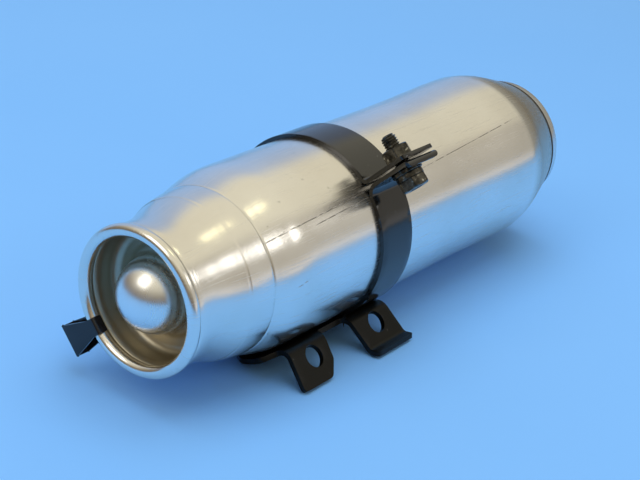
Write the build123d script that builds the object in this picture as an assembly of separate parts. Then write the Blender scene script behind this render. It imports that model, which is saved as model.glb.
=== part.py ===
"""Inline fuel filter: an aluminium canister held in a clamp band that is welded to a mounting bracket.

Lengths are in millimetres. The canister's axis lies along X. Stations along it are measured from the
plane of the closed end's rim towards the ported head, and every solid is shifted on export so that the
frame's origin is the mouth of the outlet port. Angles round the axis are measured from -Y towards +Z.
The part is drawn as it lies on a bench, on the saddle and the tabs of its bracket.
"""
import os
from math import atan2, cos, degrees, hypot, pi, radians, sin, sqrt

from build123d import *

# ---- canister ----
BODY_R = 35.0
SWELL_R = 36.0
WALL = 1.5
BEAD_R = 2.3
BEAD_RING_R = 25.1
NECK_START = 3.0
NECK_R = 26.35
NECK_BORE_R = NECK_R - WALL
NECK_BORE_END = 10.5
SHELL_END = 235.0
SHELL_END_R = 28.2
COLLAR_BORE_R = 26.5
COLLAR_LAND = 2.5
SHOULDER_NEAR = [(11.0, 26.4), (17.0, 27.0), (21.8, 28.3), (26.5, 30.0)]
STRIP = [(26.5, 30.0), (31.8, 31.0), (37.1, 31.5)]
SHOULDER_MID = [(37.1, 31.5), (43.0, 33.4), (48.5, 34.6), (55.5, BODY_R)]
SWELL = [(150.0, BODY_R), (178.0, 35.45), (202.0, SWELL_R)]
SHOULDER_FAR = [(207.0, SWELL_R), (214.0, 34.9), (222.0, 32.6), (230.0, 30.0), (SHELL_END, SHELL_END_R)]

# ---- closed end ----
DOME_R = 14.0
DOME_CENTRE = 11.5
DOME_FOOT_R = 4.5
DISH_WALL_R = 23.6
DISH_CORNER_R = 3.5
DISH_SHEET = 1.2
DISH_FLOOR = DOME_CENTRE + DOME_FOOT_R
DISH_START = 4.95

# ---- rim clip ----
CLIP_ANGLE = -135.7
CLIP_SHEET = 0.8
CLIP_PLAY = 0.06
CLIP_TOP_R = 39.2
CLIP_TOP_WIDTH = 12.0
CLIP_WAIST_R = 25.5
CLIP_WAIST_WIDTH = 6.2
CLIP_BACK_WIDTH = 9.0
CLIP_LIP_WIDTH = 6.0
CLIP_LIP_R = 22.5
CLIP_LIP_END = 3.2

# ---- head ----
THREAD_R = 24.0
THREAD_BORE_R = 24.05
THREAD_START = 223.9
SEAL_THICK = 1.3
SEAL_R = 27.8
HEAD_R = 27.2
HEAD_START = SHELL_END + SEAL_THICK
HEAD_EDGE = 0.9
HEAD_END = 241.6
RELIEF = (1.6, 2.2)
RELIEF_DEPTH = 0.6
THREAD_LEAD = 0.8
COLLAR_START = 223.4
PORT_R = 5.25
PORT_DEPTH = 12.0
INLET_OFFSET = 15.0
INLET_ANGLE = 90.0
INLET_DEPTH = 10.0
INLET_DRILL_R = 4.0
SPANNER_HOLE_R = 2.5
SPANNER_HOLE_DEPTH = 4.0
SPANNER_HOLE_RING = 20.0
PIPE_R = 6.0
PIPE_BORE_R = 4.6
PIPE_START = 202.4
PIPE_SOCKET_END = 228.4
PIPE_STOP = (212.4, 214.4)
PIPE_STOP_R = 8.0

# ---- check valve in the inlet ----
VALVE_POCKET_R = 6.0
VALVE_POCKET_END = 230.4
VALVE_SEAT_START = 227.9
VALVE_SEAT_BORE_R = 2.5
BALL_R = 3.2
CAGE_START = 213.4
CAGE_R = 5.95
CAGE_BORE_R = 4.6
CAGE_FLOOR = 1.0
CAGE_FLOOR_BORE_R = 1.6
CAGE_WINDOWS = 4
CAGE_WINDOW = (6.0, 4.0, 4.0)
CAGE_WINDOW_STATION = CAGE_START + 5.5
VALVE_COIL_R = 2.3
VALVE_WIRE_R = 0.25
VALVE_TURNS = 6
SCREEN_THICK = 0.6
SCREEN_DROP = 0.3
SCREEN_HOLE_R = 0.45
SCREEN_RINGS = ((1.4, 6), (2.8, 12))

# ---- filter element ----
ELEMENT_START = 48.0
ELEMENT_END = 210.4
CAP_SHEET = 1.2
CAP_R = 31.0
CAP_SKIRT = 5.0
TUBE_R = 13.3
TUBE_WALL = 0.8
TUBE_HOLES = (12, 8, 1.8)
PLEAT_TIP_R = 29.5
PLEAT_ROOT_R = 14.6
PLEAT_COUNT = 36
PAPER = 0.9
WRAP_R = 30.1
WRAP_SHEET = 0.35
WRAP_HOLES = (14, 12, 2.6)
GROMMET_R = 9.5
GROMMET_REACH = 3.2
SPRING_COIL_R = 16.2
SPRING_WIRE_R = 0.9
SPRING_TURNS = 5
BOSS_R = 14.6
BOSS_HEIGHT = 3.0
SEAT_SHEET = 1.0
SEAT_RIM_R = 20.8
SEAT_RIM_SHEET = 0.9
SEAT_RIM_HEIGHT = 4.5
SEAT_BORE_R = DOME_R - 0.8

# ---- clamp band ----
BAND = (93.3, 112.0)
BAND_MID = (BAND[0] + BAND[1]) / 2
BAND_SHEET = 1.5
BAND_BORE_R = BODY_R + 0.05
EAR_ANGLE = 47.5
EAR_GAP = 1.0
EAR_TIP = 58.0
UPPER_BEND_R = 2.0
LOWER_BEND_R = 5.0
EAR_CORNER_R = 2.2
EAR_LIP_BEND_R = 0.85
EAR_LIP_RUN = 1.1
EAR_LIP_CORNER_R = 1.0
BOLT_HEIGHT = 48.6

# ---- M6 x 18 clamp screw, nut and washers ----
M6_R = 2.95
M6_ROOT_R = 2.45
M6_PITCH = 1.0
M6_BORE_R = 3.0
M6_HOLE_R = 3.3
HEX_ACROSS = 10.0
SCREW_HEAD = 4.0
SCREW_HEAD_CHAMFER = 0.55
SCREW_LENGTH = 18.0
SCREW_PLAIN = 5.0
SCREW_POINT = 0.6
THREAD_GROOVE = [(M6_ROOT_R, 0.4), (M6_ROOT_R, 0.55), (M6_R, 0.92), (M6_R, M6_PITCH)]
NUT_HEIGHT = 5.0
NUT_CHAMFER = 0.5
WASHER_THICK = 1.6
SPRING_WASHER_HEIGHT = 2.2
WASHER_R = 6.0
WASHER_BORE_R = M6_HOLE_R - 0.1
SPRING_WASHER_R = 5.4
WASHER_SPLIT = (5.0, 0.7)

# ---- bracket ----
PLATE = 2.0
SADDLE_BORE_R = BAND_BORE_R + BAND_SHEET + 0.02
SADDLE = (47.5, 113.0)
NOSE_ANGLES = (-72.0, -100.0)
NOSE_BACK = 62.0
NOSE_MARGIN = 8.0
NOSE_CUT_START = 25.0
TAB_ANGLE = -45.0
SADDLE_FAR_ANGLE = -132.0
TAB_BEND_R = 4.0
TAB_ROOT = 25.0
TAB_BLANK_END = 62.0
TAB_HOLE_R = 4.25
TAB_HOLE_HEIGHT = 44.4
TAB_HOLES = (64.4, 103.4)
TAB_FRONT = [(53.4, 38.0), (74.2, 38.0), (73.0, 48.5), (68.2, 54.4), (51.8, 54.4)]
TAB_REAR = [(90.3, 38.0), (113.0, 38.0), (115.6, 53.0), (93.2, 53.0)]
LIP_ANGLE = 55.0
LIP_LENGTH = 3.4

EAR_MID = EAR_GAP / 2 + BAND_SHEET / 2
EAR_FACE = EAR_GAP / 2 + BAND_SHEET
HEAD_SEAT = EAR_FACE + WASHER_THICK + SPRING_WASHER_HEIGHT
CUT = 20.0


def station(x, angle=0.0):
    """Cross-section plane at station x: local Y points outwards at the angle, local X towards more angle."""
    a = radians(angle)
    return Plane(origin=(x, 0, 0), x_dir=(0, sin(a), cos(a)), z_dir=(1, 0, 0))


def outwards(angle, x=0.0, height=0.0):
    """Plane whose normal points outwards from the axis at the angle; local X runs along the canister."""
    a = radians(angle)
    d = Vector(0, -cos(a), sin(a))
    return Plane(origin=Vector(x, 0, 0) + d * height, x_dir=(1, 0, 0), z_dir=d)


def across(angle, x, height, side=0.0):
    """Plane whose normal runs round the axis at the angle, placed on the clamp screw's line."""
    a = radians(angle)
    d = Vector(0, -cos(a), sin(a))
    t = Vector(0, sin(a), cos(a))
    return Plane(origin=Vector(x, 0, 0) + d * height + t * side, x_dir=(1, 0, 0), z_dir=t)


def in_section(point, angle):
    """A point's place in the cross-section plane at the angle: towards more angle, and outwards."""
    a = radians(angle)
    return point.Y * sin(a) + point.Z * cos(a), point.Z * sin(a) - point.Y * cos(a)


def face(*curves):
    """Flat face inside a closed run of curves."""
    return make_face([e for c in curves for e in c.edges()])


def turned(*curves):
    """Solid of revolution about the canister's axis from a closed run of (station, radius) curves."""
    return revolve(face(*curves), Axis.X, 360)


def chain(points):
    """Straight edges through the points, closed."""
    return Polyline(*[(x, r) for x, r in points], close=True)


def ring(x0, x1, r_in, r_out):
    """Plain ring between two stations."""
    return turned(chain([(x0, r_in), (x1, r_in), (x1, r_out), (x0, r_out)]))


def disc(x0, x1, r):
    """Plain disc between two stations."""
    return extrude(station(x0) * Circle(r), amount=x1 - x0)


def rod_at(angle, ring_r, x0, x1, r):
    """Round bar parallel to the axis, off the axis by ring_r."""
    return extrude(station(x0, angle) * Pos(0, ring_r) * Circle(r), amount=x1 - x0)


def arc(centre, r, a0, a1):
    """Arc about a centre between two angles in degrees."""
    turns = [radians(a) for a in (a0, (a0 + a1) / 2, a1)]
    pts = [(centre[0] + r * cos(a), centre[1] + r * sin(a)) for a in turns]
    return ThreePointArc(*pts)


def inset(points, by):
    """The same run of profile points moved towards the axis by a sheet thickness."""
    out = []
    for i, (x, r) in enumerate(points):
        x0, r0 = points[max(i - 1, 0)]
        x1, r1 = points[min(i + 1, len(points) - 1)]
        run = hypot(x1 - x0, r1 - r0)
        out.append((x + (r1 - r0) / run * by, r - (x1 - x0) / run * by))
    return out


def hexagon(across_flats):
    """Regular hexagon by its distance across the flats."""
    return RegularPolygon(across_flats / 2, 6, major_radius=False)


def canister_shell():
    """Drawn tube: rolled rim bead, neck, creased shoulder, barrel with a faint swell, far shoulder."""
    outer = [Line((NECK_START, NECK_R), SHOULDER_NEAR[0])]
    outer += [Spline(*SHOULDER_NEAR, tangents=[(1, 0.02), (1, 0.4)])]
    outer += [ThreePointArc(*STRIP)]
    outer += [Spline(*SHOULDER_MID, tangents=[(1, 0.36), (1, 0)])]
    outer += [Line(SHOULDER_MID[-1], SWELL[0])]
    outer += [Spline(*SWELL, tangents=[(1, 0), (1, 0)])]
    outer += [Line(SWELL[-1], SHOULDER_FAR[0])]
    outer += [Spline(*SHOULDER_FAR, tangents=[(1, -0.09), (1, -0.37)])]
    body = turned(*outer, Line(SHOULDER_FAR[-1], (SHELL_END, 0)), Line((SHELL_END, 0), (NECK_START, 0)),
                  Line((NECK_START, 0), (NECK_START, NECK_R)))
    profile = SHOULDER_NEAR + STRIP[1:] + SHOULDER_MID[1:] + SWELL + SHOULDER_FAR[:3]
    mouth = NECK_START - 1
    bore = [(mouth, NECK_BORE_R), (NECK_BORE_END, NECK_BORE_R)] + inset(profile, WALL)[1:]
    land = SHELL_END - COLLAR_LAND
    bore += [(land, COLLAR_BORE_R + 1.0), (land, COLLAR_BORE_R), (SHELL_END + 1, COLLAR_BORE_R)]
    hollow = turned(chain(bore + [(SHELL_END + 1, 0), (mouth, 0)]))
    bead = turned(CenterArc((BEAD_R, BEAD_RING_R), BEAD_R, 0, 360))
    return body - hollow + bead


def end_dish():
    """Polished end cup: cylindrical wall in the neck, rounded floor and a hemispherical dome."""
    foot = (DOME_CENTRE, DOME_R + DOME_FOOT_R)
    corner = (DISH_FLOOR - DISH_CORNER_R, DISH_WALL_R - DISH_CORNER_R)
    t = DISH_SHEET
    front = [arc((DOME_CENTRE, 0), DOME_R, 180, 90), arc(foot, DOME_FOOT_R, -90, 0),
             Line((DISH_FLOOR, foot[1]), (DISH_FLOOR, corner[1])), arc(corner, DISH_CORNER_R, 0, 90),
             Line((corner[0], DISH_WALL_R), (DISH_START, DISH_WALL_R)),
             Line((DISH_START, DISH_WALL_R), (DISH_START, DISH_WALL_R + t))]
    back = [Line((DISH_START, DISH_WALL_R + t), (corner[0], DISH_WALL_R + t)),
            arc(corner, DISH_CORNER_R + t, 90, 0),
            Line((DISH_FLOOR + t, corner[1]), (DISH_FLOOR + t, foot[1])),
            arc(foot, DOME_FOOT_R + t, 0, -90), arc((DOME_CENTRE, 0), DOME_R - t, 90, 180),
            Line((DOME_CENTRE - DOME_R + t, 0), (DOME_CENTRE - DOME_R, 0))]
    return turned(*front, *back)


def blade(x0, x1, low, high):
    """Clip plate between two stations; its low and high edges are given as (radius, width)."""
    (r0, w0), (r1, w1) = low, high
    outline = chain([(-w0 / 2, r0), (w0 / 2, r0), (w1 / 2, r1), (-w1 / 2, r1)])
    return extrude(station(x0, CLIP_ANGLE) * face(outline), amount=x1 - x0)


def rim_clip():
    """Folded spring-steel clip over the rim bead: tapered face plate, top fold, back plate and inner lip."""
    face_x = -CLIP_PLAY - CLIP_SHEET
    back_x = 2 * BEAD_R + CLIP_PLAY
    top = (CLIP_TOP_R, CLIP_TOP_WIDTH)
    lip_low = (CLIP_LIP_R - CLIP_SHEET, CLIP_LIP_WIDTH)
    clip = blade(face_x, -CLIP_PLAY, (CLIP_WAIST_R, CLIP_WAIST_WIDTH), top)
    clip += blade(face_x, -CLIP_PLAY, lip_low, (CLIP_WAIST_R, CLIP_LIP_WIDTH))
    clip += blade(face_x, CLIP_LIP_END, lip_low, (CLIP_LIP_R, CLIP_LIP_WIDTH))
    clip += blade(face_x, back_x + CLIP_SHEET, (CLIP_TOP_R - CLIP_SHEET, CLIP_TOP_WIDTH), top)
    clip += blade(back_x, back_x + CLIP_SHEET, (NECK_R + 0.1, CLIP_BACK_WIDTH), top)
    return clip


def neck_collar():
    """Threaded ring seated inside the shell's open end."""
    body = ring(COLLAR_START, SHELL_END, THREAD_BORE_R, COLLAR_BORE_R - 0.02)
    lead = chain([(SHELL_END - THREAD_LEAD, THREAD_BORE_R), (SHELL_END, THREAD_BORE_R),
                  (SHELL_END, THREAD_BORE_R + THREAD_LEAD)])
    return body - turned(lead)


def head():
    """Screwed head with a centre outlet port, an offset inlet port and two pin-spanner holes."""
    relief_r = THREAD_R - RELIEF_DEPTH
    body = turned(chain([(THREAD_START, 0), (HEAD_END, 0), (HEAD_END, HEAD_R - HEAD_EDGE),
                         (HEAD_END - HEAD_EDGE, HEAD_R), (HEAD_START, HEAD_R), (HEAD_START, relief_r),
                         (HEAD_START - RELIEF[0], relief_r), (HEAD_START - RELIEF[1], THREAD_R),
                         (THREAD_START + THREAD_LEAD, THREAD_R), (THREAD_START, THREAD_R - THREAD_LEAD)]))
    body -= disc(HEAD_END - PORT_DEPTH, HEAD_END + 1, PORT_R)
    body -= disc(THREAD_START - 1, HEAD_END, PIPE_BORE_R)
    body -= disc(THREAD_START - 1, PIPE_SOCKET_END, PIPE_R)
    body -= rod_at(INLET_ANGLE, INLET_OFFSET, HEAD_END - INLET_DEPTH, HEAD_END + 1, PORT_R)
    body -= rod_at(INLET_ANGLE, INLET_OFFSET, THREAD_START, HEAD_END, INLET_DRILL_R)
    body -= rod_at(INLET_ANGLE, INLET_OFFSET, THREAD_START - 1, VALVE_POCKET_END, VALVE_POCKET_R)
    for angle in (0, 180):
        body -= rod_at(angle, SPANNER_HOLE_RING, HEAD_END - SPANNER_HOLE_DEPTH, HEAD_END + 1, SPANNER_HOLE_R)
    return body


def standpipe():
    """Outlet pipe from the head into the element's centre, with a stop flange."""
    pipe = ring(PIPE_START, PIPE_SOCKET_END, PIPE_BORE_R, PIPE_R - 0.02)
    return pipe + ring(*PIPE_STOP, PIPE_BORE_R, PIPE_STOP_R)


def in_inlet(solid):
    """Moves a solid built on the canister's axis onto the inlet port's axis."""
    a = radians(INLET_ANGLE)
    return Pos(0, -INLET_OFFSET * cos(a), INLET_OFFSET * sin(a)) * solid


def valve_seat():
    """Seat ring of the check valve, coned to the ball."""
    body = ring(VALVE_SEAT_START, VALVE_POCKET_END, VALVE_SEAT_BORE_R, VALVE_POCKET_R - 0.02)
    return in_inlet(body)


def ball_centre():
    """Station of the ball's centre when it rests on the edge of its seat."""
    return VALVE_SEAT_START - sqrt(BALL_R ** 2 - VALVE_SEAT_BORE_R ** 2) - 0.01


def valve_cage():
    """Cage that guides the ball and holds the spring, with side windows for the fuel."""
    cage = ring(CAGE_START, VALVE_SEAT_START, CAGE_BORE_R, CAGE_R)
    cage += ring(CAGE_START, CAGE_START + CAGE_FLOOR, CAGE_FLOOR_BORE_R, CAGE_R)
    for k in range(CAGE_WINDOWS):
        cage -= outwards((k + 0.5) * 360 / CAGE_WINDOWS, CAGE_WINDOW_STATION, CAGE_R) * Box(*CAGE_WINDOW)
    return in_inlet(cage)


def coil(x0, x1, turns, coil_r, wire_r):
    """Round-wire compression spring about the canister's axis."""
    pitch = (x1 - x0) / turns
    path = Helix(pitch, x1 - x0, coil_r, center=(x0, 0, 0), direction=(1, 0, 0))
    start = path @ 0
    profile = Plane(origin=start, z_dir=path % 0) * Circle(wire_r)
    return sweep(profile, path, is_frenet=True)


def valve_spring():
    """Light coil between the cage's floor and the ball."""
    low = CAGE_START + CAGE_FLOOR + VALVE_WIRE_R + 0.08
    contact = sqrt((BALL_R + VALVE_WIRE_R) ** 2 - VALVE_COIL_R ** 2)
    return in_inlet(coil(low, ball_centre() - contact - 0.12, VALVE_TURNS, VALVE_COIL_R, VALVE_WIRE_R))


def inlet_screen():
    """Perforated strainer disc in the drilling below the inlet port."""
    x0 = HEAD_END - INLET_DEPTH - SCREEN_THICK - SCREEN_DROP
    screen = disc(x0, x0 + SCREEN_THICK, INLET_DRILL_R - 0.03)
    spots = [(0, 0)] + [(360 * k / n, r) for r, n in SCREEN_RINGS for k in range(n)]
    holes = [rod_at(angle, r, x0 - 1, x0 + 2, SCREEN_HOLE_R) for angle, r in spots]
    return in_inlet(screen - holes)


def perforated(r_in, r_out, rows, per_row, hole_r):
    """Tube wall with rows of round holes, as long as the space between the element's end caps."""
    x0, x1 = ELEMENT_START + CAP_SHEET, ELEMENT_END - CAP_SHEET
    tube = ring(x0, x1, r_in, r_out)
    holes = []
    for i in range(rows):
        x = x0 + (x1 - x0) * (i + 0.5) / rows
        for k in range(per_row // 2):
            angle = 360 / per_row * (k + 0.5 * (i % 2))
            holes.append(outwards(angle, x) * Cylinder(hole_r, 4 * r_out))
    return tube - holes


def pleated_media():
    """Filter paper folded into a ring of straight pleats."""
    def star(tip, root):
        pts = []
        for k in range(PLEAT_COUNT):
            for a, r in ((k, tip), (k + 0.5, root)):
                t = 2 * pi * a / PLEAT_COUNT
                pts.append((r * cos(t), r * sin(t)))
        return Polyline(*pts, close=True)

    start = ELEMENT_START + CAP_SHEET
    length = ELEMENT_END - ELEMENT_START - 2 * CAP_SHEET
    outer = extrude(station(start) * face(star(PLEAT_TIP_R, PLEAT_ROOT_R)), amount=length)
    inner = extrude(station(start) * face(star(PLEAT_TIP_R - 2 * PAPER, PLEAT_ROOT_R - PAPER)), amount=length)
    return outer - inner


def near_end_cap():
    """Closed end cap of the element, with a boss that centres the spring."""
    x = ELEMENT_START
    cap = disc(x, x + CAP_SHEET, CAP_R) + ring(x, x + CAP_SKIRT, WRAP_R + 0.1, CAP_R)
    return cap + ring(x - BOSS_HEIGHT, x, BOSS_R - CAP_SHEET, BOSS_R)


def head_end_cap():
    """Open end cap of the element, with a collar for the grommet."""
    x = ELEMENT_END
    return ring(x - CAP_SHEET, x, GROMMET_R, CAP_R) + ring(x - CAP_SKIRT, x, WRAP_R + 0.1, CAP_R)


def grommet():
    """Rubber bush that seals the element on the outlet pipe."""
    x = ELEMENT_END
    inner = x - GROMMET_REACH
    body = ring(inner, PIPE_STOP[0], PIPE_R + 0.04, GROMMET_R - 0.02)
    body += ring(x + 0.02, PIPE_STOP[0], GROMMET_R - 0.1, GROMMET_R + 2)
    return body + ring(inner, x - CAP_SHEET - 0.02, GROMMET_R - 0.1, GROMMET_R + 1)


def spring_seat():
    """Pressed cup that carries the element's spring on the back of the end dish."""
    x = DISH_FLOOR + DISH_SHEET + 0.05
    floor = ring(x, x + SEAT_SHEET, SEAT_BORE_R, SEAT_RIM_R)
    return floor + ring(x, x + SEAT_RIM_HEIGHT, SEAT_RIM_R - SEAT_RIM_SHEET, SEAT_RIM_R)


def element_spring():
    """Coil spring that holds the element up to the outlet pipe's stop."""
    low = DISH_FLOOR + DISH_SHEET + SEAT_SHEET + SPRING_WIRE_R + 0.3
    return coil(low, ELEMENT_START - SPRING_WIRE_R - 0.25, SPRING_TURNS, SPRING_COIL_R, SPRING_WIRE_R)


def ear_root(bend_r):
    """Height of an ear's bend centre, and the angle its bend takes off the ring."""
    ring_r = BAND_BORE_R + BAND_SHEET / 2
    height = sqrt((ring_r + bend_r) ** 2 - (EAR_MID + bend_r) ** 2)
    return height, degrees(atan2(EAR_MID + bend_r, height))


def clamp_band():
    """Band round the canister; both ends turn outwards into ears, and the lower ear's tip has a lip."""
    h = BAND_SHEET / 2
    up_height, up_lean = ear_root(UPPER_BEND_R)
    low_height, low_lean = ear_root(LOWER_BEND_R)
    lip_t = -(EAR_MID + EAR_LIP_BEND_R)
    lip_c = (lip_t, EAR_TIP - h - EAR_LIP_BEND_R)
    lip_end = lip_t - EAR_LIP_RUN
    edges = []
    for side in (1, -1):
        ring_r = BAND_BORE_R + h + side * h
        u = EAR_MID + side * h
        bend_r = UPPER_BEND_R - side * h
        edges.append(arc((EAR_MID + UPPER_BEND_R, up_height), bend_r, 180, 270 - up_lean))
        edges.append(Line((u, up_height), (u, EAR_TIP)))
        edges.append(arc((-EAR_MID - LOWER_BEND_R, low_height), LOWER_BEND_R - side * h, 0, low_lean - 90))
        edges.append(Line((-u, low_height), (-u, lip_c[1])))
        edges.append(arc(lip_c, EAR_LIP_BEND_R - side * h, 0, 90))
        edges.append(Line((lip_t, EAR_TIP - h - side * h), (lip_end, EAR_TIP - h - side * h)))
        edges.append(arc((0, 0), ring_r, 90 - up_lean, 90 + low_lean - 360))
    edges.append(Line((EAR_MID - h, EAR_TIP), (EAR_MID + h, EAR_TIP)))
    edges.append(Line((lip_end, EAR_TIP - BAND_SHEET), (lip_end, EAR_TIP)))
    band = extrude(station(BAND[0], EAR_ANGLE) * face(*edges), amount=BAND[1] - BAND[0])
    upper_corners, lip_corners = [], []
    for edge in band.edges():
        centre = edge.center()
        t, height = in_section(centre, EAR_ANGLE)
        if min(abs(centre.X - BAND[0]), abs(centre.X - BAND[1])) > 0.01 or height < EAR_TIP - BAND_SHEET:
            continue
        if t > 0 and height > EAR_TIP - 0.01:
            upper_corners.append(edge)
        if t < lip_end + 0.01:
            lip_corners.append(edge)
    band = fillet(upper_corners, EAR_CORNER_R)
    band = fillet([nearest(band, e) for e in lip_corners], EAR_LIP_CORNER_R)
    return band - extrude(across(EAR_ANGLE, BAND_MID, BOLT_HEIGHT, -CUT / 2) * Circle(M6_HOLE_R), amount=CUT)


def nearest(solid, edge):
    """The solid's edge whose centre is nearest to that of a given edge."""
    return min(solid.edges(), key=lambda e: (e.center() - edge.center()).length)


def clamp_screw():
    """M6 hexagon screw: chamfered head, shank with thread grooves, pointed tip."""
    plane = across(EAR_ANGLE, BAND_MID, BOLT_HEIGHT, -HEAD_SEAT)
    body = extrude(plane * hexagon(HEX_ACROSS), amount=-SCREW_HEAD)
    cone_r = HEX_ACROSS / 2 / cos(pi / 6)
    dome = Pos(0, 0, -SCREW_HEAD / 2) * Cylinder(cone_r, SCREW_HEAD)
    dome = chamfer(dome.edges().group_by(Axis.Z)[0], SCREW_HEAD_CHAMFER)
    body &= plane * dome
    points = [(0, -1.0), (M6_R, -1.0), (M6_R, SCREW_PLAIN)]
    for k in range(int((SCREW_LENGTH - SCREW_PLAIN - SCREW_POINT) / M6_PITCH)):
        points += [(r, SCREW_PLAIN + k * M6_PITCH + z) for r, z in THREAD_GROOVE]
    points += [(M6_R, SCREW_LENGTH - SCREW_POINT), (M6_R - SCREW_POINT, SCREW_LENGTH), (0, SCREW_LENGTH)]
    shank = revolve(Plane.XZ * face(Polyline(*points, close=True)), Axis.Z, 360)
    return body + plane * shank


def clamp_nut():
    """M6 hexagon nut, chamfered both ends."""
    plane = across(EAR_ANGLE, BAND_MID, BOLT_HEIGHT, EAR_FACE)
    nut = extrude(hexagon(HEX_ACROSS), amount=NUT_HEIGHT)
    cone = Pos(0, 0, NUT_HEIGHT / 2) * Cylinder(HEX_ACROSS / 2 / cos(pi / 6), NUT_HEIGHT)
    cone = chamfer(cone.edges().filter_by(GeomType.CIRCLE), NUT_CHAMFER)
    nut = (nut & cone) - Pos(0, 0, NUT_HEIGHT / 2) * Cylinder(M6_BORE_R, NUT_HEIGHT + 2)
    return plane * nut


def flat_washer():
    """Plain washer under the lower ear."""
    plane = across(EAR_ANGLE, BAND_MID, BOLT_HEIGHT, -EAR_FACE)
    return plane * extrude(Circle(WASHER_R) - Circle(WASHER_BORE_R), amount=-WASHER_THICK)


def spring_washer():
    """Split spring washer under the screw's head."""
    plane = across(EAR_ANGLE, BAND_MID, BOLT_HEIGHT, -EAR_FACE - WASHER_THICK)
    split = Rot(0, 0, 35) * Pos(WASHER_BORE_R + 1.3, 0) * Rot(0, 0, 20) * Rectangle(*WASHER_SPLIT)
    ring = Circle(SPRING_WASHER_R) - Circle(WASHER_BORE_R) - split
    return plane * extrude(ring, amount=-SPRING_WASHER_HEIGHT)


def nose_scrap():
    """Wedge that leaves the near half of the saddle standing out as a tongue."""
    rc = SADDLE_BORE_R + PLATE / 2
    tip, back = NOSE_ANGLES
    t_tip = rc * sin(radians(tip - back))
    t_far = -rc * sin(radians(back - SADDLE_FAR_ANGLE)) - NOSE_MARGIN
    x_out = SADDLE[0] - NOSE_MARGIN
    wedge = chain([(SADDLE[0], t_tip), (NOSE_BACK, 0), (NOSE_BACK, t_far), (x_out, t_far), (x_out, t_tip)])
    return extrude(across(back - 90, 0, 0, NOSE_CUT_START) * face(wedge), amount=CUT)


def bracket():
    """Curved saddle with two tabs turned outwards; the rear tab ends in a small lip."""
    h = PLATE / 2
    rc = SADDLE_BORE_R + h
    height = sqrt((rc + TAB_BEND_R) ** 2 - TAB_BEND_R ** 2)
    lean = degrees(atan2(TAB_BEND_R, height))
    sweep_angle = TAB_ANGLE - SADDLE_FAR_ANGLE
    long_end = 90 + sweep_angle
    saddle_2d = face(arc((0, 0), rc + h, 90 + lean, long_end), arc((0, 0), rc - h, 90 + lean, long_end),
                     Line(polar(rc - h, long_end), polar(rc + h, long_end)),
                     Line(polar(rc - h, 90 + lean), polar(rc + h, 90 + lean)))
    out = extrude(station(SADDLE[0], TAB_ANGLE) * saddle_2d, amount=SADDLE[1] - SADDLE[0])
    bend_c = (-TAB_BEND_R, height)
    leg = face(arc(bend_c, TAB_BEND_R - h, 0, lean - 90), arc(bend_c, TAB_BEND_R + h, 0, lean - 90),
               Line(polar(rc + h, 90 + lean), polar(rc - h, 90 + lean)), Line((-h, height), (-h, TAB_BLANK_END)),
               Line((h, height), (h, TAB_BLANK_END)), Line((-h, TAB_BLANK_END), (h, TAB_BLANK_END)))
    for outline in (TAB_FRONT, TAB_REAR):
        x_low = min(p[0] for p in outline) - 1
        x_high = max(p[0] for p in outline) + 1
        blank = extrude(station(x_low, TAB_ANGLE) * leg, amount=x_high - x_low)
        foot = [(outline[0][0], TAB_ROOT), (outline[1][0], TAB_ROOT)] + outline[1:] + [outline[0]]
        trim = extrude(side_plane(-CUT / 2) * face(chain(foot)), amount=CUT)
        out += blank & trim
    out += tab_lip()
    out -= nose_scrap()
    for x in TAB_HOLES:
        out -= extrude(across(TAB_ANGLE, x, TAB_HOLE_HEIGHT, -CUT / 2) * Circle(TAB_HOLE_R), amount=CUT)
    return out


def polar(r, angle):
    """Point at a radius and an angle in degrees."""
    return (r * cos(radians(angle)), r * sin(radians(angle)))


def side_plane(side):
    """Plane of the tabs: local X along the canister, local Y outwards; normal towards less angle."""
    a = radians(TAB_ANGLE)
    d = Vector(0, -cos(a), sin(a))
    t = Vector(0, sin(a), cos(a))
    normal = Vector(1, 0, 0).cross(d)
    return Plane(origin=t * (side * normal.dot(t)), x_dir=(1, 0, 0), z_dir=normal)


def tab_lip():
    """Lip along the rear tab's outer edge, turned towards the clamp screw's side."""
    h = PLATE / 2
    top = TAB_REAR[2][1]
    a = radians(LIP_ANGLE)
    run = (LIP_LENGTH * sin(a), LIP_LENGTH * cos(a))
    off = (-PLATE * cos(a), PLATE * sin(a))
    lip = face(Line((-h, top - 1), (h, top - 1)), Line((h, top - 1), (h, top)),
               Line((h, top), (h + run[0], top + run[1])),
               Line((h + run[0], top + run[1]), (h + run[0] + off[0], top + run[1] + off[1])),
               Line((h + run[0] + off[0], top + run[1] + off[1]), (h + off[0], top + off[1])),
               arc((h, top), PLATE, 180 - LIP_ANGLE, 180), Line((-h, top), (-h, top - 1)))
    length = TAB_REAR[2][0] - TAB_REAR[3][0]
    return extrude(station(TAB_REAR[3][0], TAB_ANGLE) * lip, amount=length)


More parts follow.
